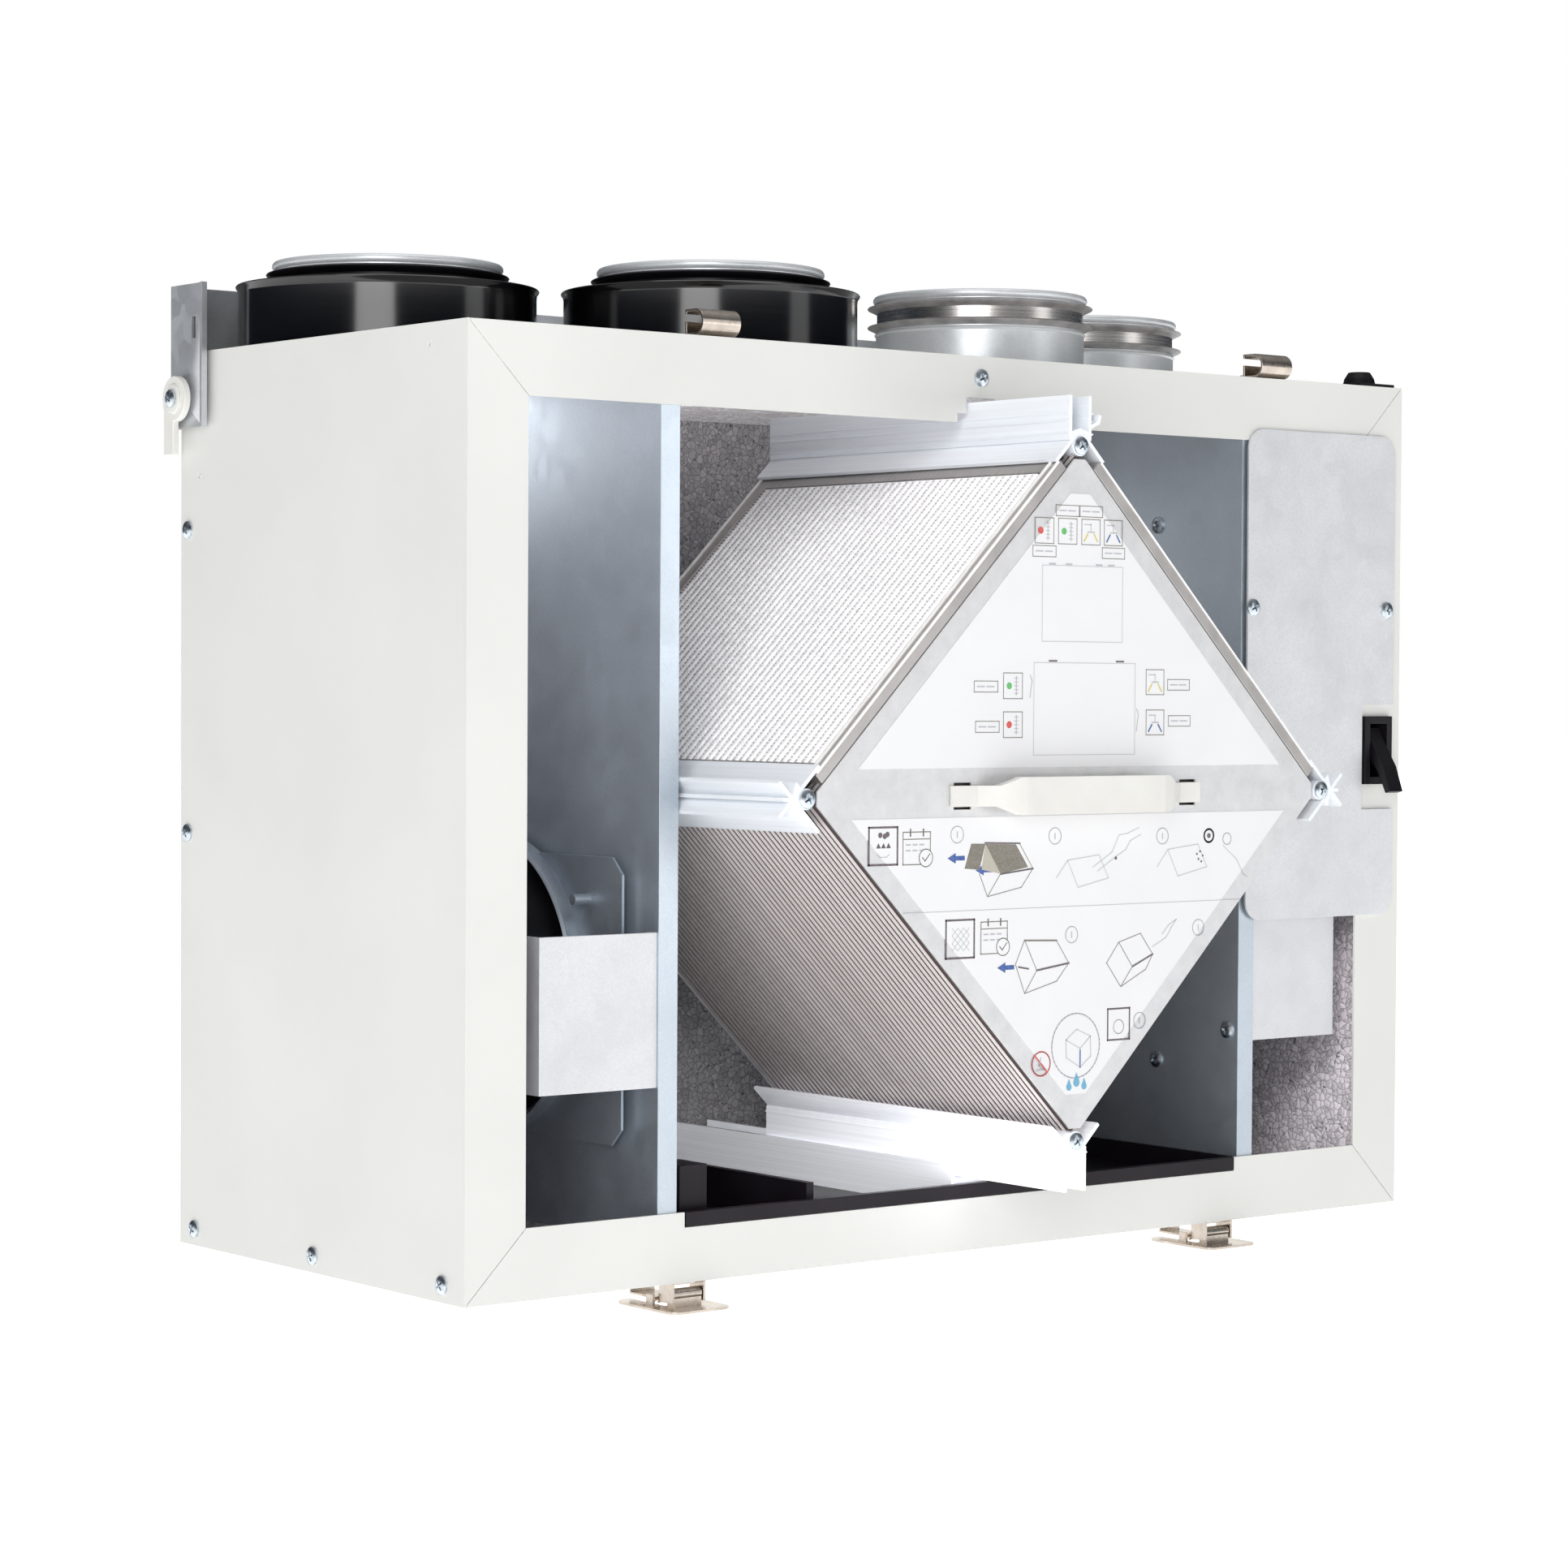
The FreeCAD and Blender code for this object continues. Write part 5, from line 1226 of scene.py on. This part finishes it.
def drawing_lower():
    """Service steps: take out and clean the filters, then the exchanger, and keep it off the floor."""
    art = [("ink_fine", 0.4, [(-122.5, -62.0), (123.0, -62.0)])]
    art += [
        ("ink_dark", 1.1, frame_points(*corners))
        for corners in ((-146, -17.2, -126.8, -36.6), (-93.2, -66.8, -73.6, -86.8))
    ]
    art.append(("ink_dark", 1.0, frame_points(23, -118.7, 39.2, -135.6)))
    art += [
        ("ink_dark", 0, circle_points(x, z, 1.5, 8))
        for x, z in ((-138.4, -21.2), (-135.4, -21.8), (-133.6, -20.9))
    ]
    art += [("ink_dark", 0, [(x - 1.6, -28), (x + 1.6, -28), (x, -25.2)]) for x in (-139.6, -136.2, -132.8)]
    art.append(("ink_fine", 0.4, [(-140.4, -31.2), (-138.4, -32.6), (-134.2, -32.6), (-132.2, -31.2)]))
    art += [("ink_fine", 0.35, [(x, z), (x + 4, z - 4)]) for x in (-89, -85, -81) for z in (-71, -75, -79)]
    art += [("ink_fine", 0.35, [(x + 4, z), (x, z - 4)]) for x in (-89, -85, -81) for z in (-71, -75, -79)]
    art.append(("ink_fine", 0.45, circle_points(31.1, -128.6, 3.8) + [(34.9, -128.6)]))
    for x0, z0 in ((-123.0, -20.0), (-68.9, -68.4)):
        art.append(("ink_taupe", 0.55, frame_points(x0, z0, x0 + 18.6, z0 - 16.9)))
        art.append(("ink_taupe", 0.5, [(x0, z0 - 3.7), (x0 + 18.6, z0 - 3.7)]))
        art += [("ink_dark", 0.9, [(x0 + x, z0 + 1.3), (x0 + x, z0 - 1.9)]) for x in (5.0, 13.8)]
        art += [
            ("ink_fine", 0.8, [(x0 + x, z0 - z), (x0 + x + 2.6, z0 - z)])
            for x in (2.2, 6.8, 11.4)
            for z in (6.6, 9.6)
        ]
        art.append(("label_film", 0, circle_points(x0 + 15.6, z0 - 13.6, 4.6)))
        art.append(("ink_taupe", 0.5, circle_points(x0 + 15.6, z0 - 13.6, 4.6) + [(x0 + 20.2, z0 - 13.6)]))
        art.append(("ink_dark", 0.6, [(x0 + 13.2, z0 - 13.4), (x0 + 15.0, z0 - 15.2), (x0 + 18.2, z0 - 11.6)]))
    steps = [(-85.9, -21.9), (-16.6, -24.0), (63.0, -25.6), (-4.0, -77.3), (90.9, -76.7), (46.8, -126.0)]
    for x, z in steps:
        art.append(("ink_fine", 0.4, circle_points(x, z, 4.4) + [(x + 4.4, z)]))
        art.append(("ink_fine", 0.7, [(x, z - 1.4), (x, z + 1.4)]))
    for x, z in ((-92.6, -34.3), (-73.0, -41.0), (-57.3, -93.1)):
        art.append(("ink_blue", 0, [(x, z), (x + 5.7, z + 2.8), (x + 5.7, z + 1.2), (x + 12, z + 1.2)]))
        art[-1][2].extend([(x + 12, z - 1.2), (x + 5.7, z - 1.2), (x + 5.7, z - 2.8)])
    art.append(("ink_dark", 0.9, [(-42.0, -93.2), (-35.2, -94.4)]))
    art.append(("ink_sand", 0, [(-66.3, -27.1), (-55.4, -43.2), (-68.8, -40.7)]))
    art.append(("ink_taupe", 0, [(-76.1, -26.9), (-66.3, -27.1), (-70.3, -40.7), (-80.7, -39.9)]))
    art.append(("ink_taupe", 0, [(-66.3, -27.1), (-44.7, -27.9), (-35.9, -40.1), (-55.4, -43.2)]))
    art.append(("ink_dark", 0.8, [(-66.3, -26.6), (-41.8, -27.4)]))
    art.append(("ink_dark", 0.9, [(-55.4, -43.4), (-32.4, -41.0)]))
    art.append(("ink_taupe", 0.4, [(-55.4, -43.2), (-64.5, -55.1), (-70.3, -42.8)]))
    art.append(("ink_taupe", 0.4, [(-64.5, -55.1), (-40.6, -50.8), (-32.4, -41.0), (-41.8, -27.9)]))
    tent = [(-15.4, -46.5), (-7.2, -37.2), (15.6, -34.8), (22.7, -47.5), (0.4, -52.0), (-7.2, -37.6)]
    art.append(("ink_fine", 0.35, tent))
    art.append(("ink_fine", 0.35, [(x + 74.5, z + 4.2) for x, z in tent]))
    art.append(("ink_fine", 0.35, [(11.3, -41.3), (25.2, -33.6), (30.4, -24.4), (36.6, -23.6), (45.3, -20.6)]))
    art.append(("ink_fine", 0.35, [(14.6, -43.6), (28.2, -36.0), (35.4, -32.4), (38.8, -27.6), (46.6, -24.4)]))
    art.append(("ink_dark", 0, circle_points(28.0, -36.8, 1.0, 8)))
    art += [
        ("ink_dark", 0, circle_points(x, z, 0.7, 6))
        for x, z in ((89.4, -36), (91.8, -34.6), (93.8, -37), (90.6, -38.8), (92.8, -40.2))
    ]
    art.append(("ink_dark", 1.0, circle_points(98.5, -26.1, 3.6) + [(102.1, -26.1)]))
    art.append(("ink_dark", 0, circle_points(98.5, -26.1, 1.4, 10)))
    art.append(("ink_fine", 0.35, circle_points(112.6, -28.1, 3.2) + [(115.8, -28.1)]))
    art.append(("ink_fine", 0.35, [(109.5, -31.7), (120.1, -39.5), (125.8, -48.0), (128.8, -49.6)]))
    block = [
        (-38.0, -79.0), (-15.0, -80.1), (-6.0, -92.5), (-29.1, -95.5), (-38.0, -79.0), (-44.4, -91.7),
        (-37.7, -107.5),
    ]
    art.append(("ink_taupe", 0.4, block + [(-29.1, -95.5)]))
    art.append(("ink_taupe", 0.4, [(-37.7, -107.5), (-14.8, -101.9), (-6.0, -92.5)]))
    art.append(("ink_dark", 1.0, [(-29.1, -95.5), (-6.0, -92.5)]))
    art.append(("ink_taupe", 0.9, [(-38.0, -79.2), (-15.0, -80.0)]))
    turned = [
        (30.7, -82.7), (46.9, -78.4), (56.2, -90.1), (41.0, -96.3), (30.7, -82.7), (21.8, -93.6), (32.4, -106.9)
    ]
    art.append(("ink_taupe", 0.4, turned + [(41.0, -96.3)]))
    art.append(("ink_taupe", 0.4, [(32.4, -106.9), (51.1, -98.2), (56.2, -90.1)]))
    art.append(("ink_dark", 0.9, [(41.0, -96.3), (56.2, -90.1)]))
    art.append(("ink_fine", 0.35, [(56.1, -86.1), (66.3, -81.3), (70.2, -76.0), (74.0, -71.6), (68.0, -74.6), (63.4, -79.4)]))
    art.append(("ink_fine", 0.6, circle_points(-0.5, -137.3, 17.4, 40) + [(16.9, -137.3)]))
    cube = [
        (-7.6, -133.9), (0.2, -128.5), (10.2, -132.7), (2.8, -139.0), (-7.6, -133.9), (-7.2, -143.4),
        (2.8, -149.1),
    ]
    art.append(("ink_fine", 0.4, cube + [(10.6, -143.4), (10.2, -132.7)]))
    art.append(("ink_blue", 0.8, [(2.8, -140.0), (2.8, -149.1)]))
    art.append(("ink_red", 0.7, circle_points(-25.5, -145.7, 6.5) + [(-19.0, -145.7)]))
    art.append(("ink_red", 0.7, [(-30.1, -141.1), (-20.9, -150.3)]))
    art.append(("ink_fine", 0.6, [(-25.6, -142.4), (-26.8, -146.4), (-23.6, -148.8), (-28.2, -149.2)]))
    for x, z, r in ((-5.2, -159.4, 1.9), (0.2, -157.2, 2.3), (5.8, -159.4, 1.9)):
        art.append(("ink_sky", 0, circle_points(x, z, r, 14)))
        art.append(("ink_sky", 0, [(x - r * 0.86, z + r * 0.5), (x + r * 0.86, z + r * 0.5), (x, z + r * 2.4)]))
    return art


class BuildLabels(bpy.types.Operator):
    """Label films and their generic line drawings"""

    bl_idname = "heat_unit.labels"
    bl_label = "Labels"

    def execute(self, context):
        middle_z = (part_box("upper_label")[0].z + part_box("lower_label")[1].z) / 2
        for node, drawing in (("upper_label", drawing_upper), ("lower_label", drawing_lower)):
            repaint(node, "label_film")
            art = drawing()
            inks = sorted({color for color, _, _ in art})
            form = bmesh.new()
            for rank, (color, width, points) in enumerate(art):
                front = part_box(node)[0].y - (0.02 + 0.001 * rank) * MM
                material = inks.index(color)
                if width:
                    for start, end in zip(points, points[1:]):
                        ribbon(form, start, end, width, front, material)
                else:
                    outline = [Vector((x * MM, 0, z * MM)) for x, z in points]
                    extruded(form, outline, front - PRINT_THICK, front, material)
            bmesh.ops.translate(form, verts=form.verts, vec=(0, 0, middle_z))
            mesh = bpy.data.meshes.new(node + "_print")
            form.to_mesh(mesh)
            form.free()
            settled(mesh, node + "_print", inks, node)
        return {"FINISHED"}


class BuildLatches(bpy.types.Operator):
    """Top catches, toggle latches and the locking discs"""

    bl_idname = "heat_unit.latches"
    bl_label = "Catches and latches"

    def execute(self, context):
        softened("top_catches", "nickel", 0.35 * MM)
        softened("latch_bases", "nickel", 0.3 * MM)
        for side in ("left", "right"):
            softened(side + "_latch_lever", "nickel", 0.4 * MM)
            softened(side + "_latch_hook", "nickel", 0.3 * MM)
            softened(side + "_lock_disc", "handle_plastic", 0.6 * MM, 3)
        return {"FINISHED"}


# ---------------------------------------------------------------- stage
CAMERA_SPOT = (-1.41425, -1.89568, -0.20189)
CAMERA_YAW, CAMERA_PITCH, CAMERA_ROLL = math.radians(38.458), math.radians(-1.473), math.radians(0.319)


def aim_camera(camera):
    """Turns the camera by yaw from +Y towards +X, pitch above the horizon and roll."""
    reach = math.cos(CAMERA_PITCH)
    ahead = Vector((math.sin(CAMERA_YAW) * reach, math.cos(CAMERA_YAW) * reach, math.sin(CAMERA_PITCH)))
    level = Vector((math.cos(CAMERA_YAW), -math.sin(CAMERA_YAW), 0))
    upright = level.cross(ahead)
    right = level * math.cos(CAMERA_ROLL) + upright * math.sin(CAMERA_ROLL)
    top = upright * math.cos(CAMERA_ROLL) - level * math.sin(CAMERA_ROLL)
    rows = Matrix((right, top, -ahead)).transposed().to_4x4()
    camera.matrix_world = Matrix.Translation(CAMERA_SPOT) @ rows


def softbox(name, spot, target, size, power):
    light = bpy.data.lights.new(name, "AREA")
    light.shape = "RECTANGLE"
    light.size, light.size_y = size
    light.energy = power
    lamp = bpy.data.objects.new(name, light)
    bpy.context.scene.collection.objects.link(lamp)
    lamp.location = spot
    lamp.rotation_mode = "QUATERNION"
    lamp.rotation_quaternion = (Vector(target) - Vector(spot)).to_track_quat("-Z", "Y")
    return lamp


class BuildStage(bpy.types.Operator):
    """Pale floor, soft studio lights and the camera"""

    bl_idname = "heat_unit.stage"
    bl_label = "Stage"

    def execute(self, context):
        settings = context.scene.heat_stage
        scene = context.scene
        form = bmesh.new()
        bmesh.ops.create_circle(form, cap_ends=True, segments=96, radius=60.0)
        bmesh.ops.translate(form, verts=form.verts, vec=(0, 0, CAD_BOX[0].z - settings.floor_drop))
        mesh = bpy.data.meshes.new("floor")
        form.to_mesh(mesh)
        form.free()
        floor = bpy.data.objects.new("floor", mesh)
        scene.collection.objects.link(floor)
        material, tree, shader = surface("pale_floor", Roughness=0.7, Emission_Strength=1.1)
        cloud = noise(tree, object_place(tree), 1.5, 3.0)
        feed(
            tree, shader, "Base Color",
            shades(tree, cloud, [(0.3, (0.80, 0.80, 0.80)), (0.7, (0.84, 0.84, 0.84))]),
        )
        shader.inputs["Emission Color"].default_value = (1, 1, 1, 1)
        mesh.materials.append(material)
        floor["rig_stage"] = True

        world = bpy.data.worlds.new("studio")
        scene.world = world
        world.use_nodes = True
        nodes, links = world.node_tree.nodes, world.node_tree.links
        nodes.clear()
        output = nodes.new("ShaderNodeOutputWorld")
        paths = nodes.new("ShaderNodeLightPath")
        seen = nodes.new("ShaderNodeBackground")
        seen.inputs["Color"].default_value = (1, 1, 1, 1)
        seen.inputs["Strength"].default_value = 1.0
        lit = nodes.new("ShaderNodeBackground")
        coords = nodes.new("ShaderNodeTexCoord")
        height = nodes.new("ShaderNodeSeparateXYZ")
        links.new(coords.outputs["Generated"], height.inputs[0])
        sky_stops = [
            (0.0, (0.22, 0.28, 0.36)), (0.25, (0.03, 0.045, 0.065)), (0.5, (0.06, 0.075, 0.10)), (1.0, (1.0, 1.0, 1.0))
        ]
        rise = spread(world.node_tree, height.outputs["Z"], 0.0, 1.0, -0.2, 0.9)
        sky = shades(world.node_tree, rise, sky_stops)
        links.new(sky, lit.inputs["Color"])
        lit.inputs["Strength"].default_value = settings.room_light
        mix = nodes.new("ShaderNodeMixShader")
        links.new(paths.outputs["Is Camera Ray"], mix.inputs[0])
        links.new(lit.outputs[0], mix.inputs[1])
        links.new(seen.outputs[0], mix.inputs[2])
        links.new(mix.outputs[0], output.inputs[0])

        target = (0.0, -0.20, -0.25)
        softbox("key_softbox", (-2.10, -2.15, 0.30), target, (1.45, 1.7), settings.key_power)
        softbox("right_softbox", (1.60, -2.60, 0.20), target, (0.9, 1.6), settings.key_power * 0.16)
        softbox("top_softbox", (-0.2, -0.60, 1.90), target, (2.0, 1.4), settings.key_power * 0.30)

        lens = bpy.data.cameras.new("camera")
        lens.lens = settings.lens
        lens.sensor_width = 36.0
        lens.clip_end = 200.0
        camera = bpy.data.objects.new("camera", lens)
        scene.collection.objects.link(camera)
        aim_camera(camera)
        scene.camera = camera
        scene.view_settings.view_transform = "Standard"
        return {"FINISHED"}


# Each light: name, spot, target, size, share of the bay power, and words in the names of the pieces it reaches.
# The last number is 1 where the casing casts its shadow in that light.
BAY_LIGHTS = (
    (
        "bay_softbox", (-2.05, -2.10, 1.15), (0, -0.2, -0.2), 1.2, 0.8, ("insulation_back", "insulation_sides"),
        1,
    ),
    ("profile_softbox", (-2.05, -2.10, 1.15), (0, -0.2, -0.2), 1.2, 0.30, ("_profile", "profile_ribs"), 1),
    ("edge_softbox", (0.80, -2.60, 0.20), (0, -0.2, -0.2), 1.2, 0.16, ("partition",), 1),
    (
        "filter_softbox", (-1.60, -1.70, 0.75), (0, -0.2, -0.2), 1.2, 0.52,
        ("filter_media", "filter_mesh", "filter_frame", "filter_edging"), 1,
    ),
    (
        "lower_softbox", (-1.90, -1.55, -0.95), (0, -0.2, -0.4), 1.2, 0.45,
        ("plate_stack", "bottom_profile", "guide_rail"), 1,
    ),
    ("left_bay_glow", (-0.31, -0.04, -0.07), (-0.22, -0.16, -0.12), 0.16, 0.0035, ("left_partition",), 0),
    ("right_bay_glow", (0.11, -0.03, -0.16), (0.206, -0.17, -0.20), 0.16, 0.0009, ("right_partition",), 0),
    ("ceiling_glow", (-0.55, -0.75, -0.40), (0, -0.15, -0.05), 0.4, 0.16, ("insulation_ceiling",), 0),
    ("rail_glow", (-0.70, -0.80, -0.55), (0, -0.2, -0.46), 0.4, 0.09, ("bottom_profile", "guide_rail"), 0),
)


class LightBays(bpy.types.Operator):
    """Softboxes that reach only what stands in the open bays"""

    bl_idname = "heat_unit.bay_light"
    bl_label = "Bay lights"

    def execute(self, context):
        power = context.scene.heat_stage.bay_power
        for name, spot, target, size, share, words, shadowed in BAY_LIGHTS:
            lamp = softbox(name, spot, target, (size, size), power * share)
            reached = bpy.data.collections.new(name + "_reach")
            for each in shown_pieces():
                if any(word in each.name for word in words):
                    reached.objects.link(each)
            lamp.light_linking.receiver_collection = reached
            lamp.visible_camera = False
            if not shadowed:
                lamp.data.use_shadow = False
        return {"FINISHED"}


class HeatUnitPanel(bpy.types.Panel):
    """Sidebar list of the unit's pieces and settings"""

    bl_idname = "VIEW3D_PT_heat_unit"
    bl_label = "Heat recovery unit"
    bl_space_type = "VIEW_3D"
    bl_region_type = "UI"
    bl_category = "Heat unit"

    def draw(self, context):
        scene = context.scene
        for group in (scene.heat_casing, scene.heat_exchanger, scene.heat_stage):
            column = self.layout.column(align=True)
            for name in group.__annotations__:
                column.prop(group, name)
        for operator in OPERATORS:
            self.layout.operator(operator.bl_idname)


OPERATORS = (
    BuildStage,
    BuildCasing,
    BuildTray,
    BuildFans,
    BuildElectronics,
    BuildDoorCatch,
    BuildSpigots,
    BuildExchanger,
    BuildFilters,
    BuildScrews,
    BuildLabels,
    BuildLatches,
    LightBays,
)
SETTINGS = {
    "heat_casing": CasingSettings,
    "heat_exchanger": ExchangerSettings,
    "heat_stage": StageSettings,
}


def register():
    for group in SETTINGS.values():
        bpy.utils.register_class(group)
    for name, group in SETTINGS.items():
        setattr(bpy.types.Scene, name, bpy.props.PointerProperty(type=group))
    for each in (*OPERATORS, HeatUnitPanel):
        bpy.utils.register_class(each)


def unregister():
    for each in reversed((*OPERATORS, HeatUnitPanel)):
        bpy.utils.unregister_class(each)
    for name in SETTINGS:
        delattr(bpy.types.Scene, name)
    for group in reversed(tuple(SETTINGS.values())):
        bpy.utils.unregister_class(group)


def main():
    register()
    for operator in OPERATORS:
        family, name = operator.bl_idname.split(".")
        getattr(getattr(bpy.ops, family), name)()


if __name__ == "__main__":
    main()
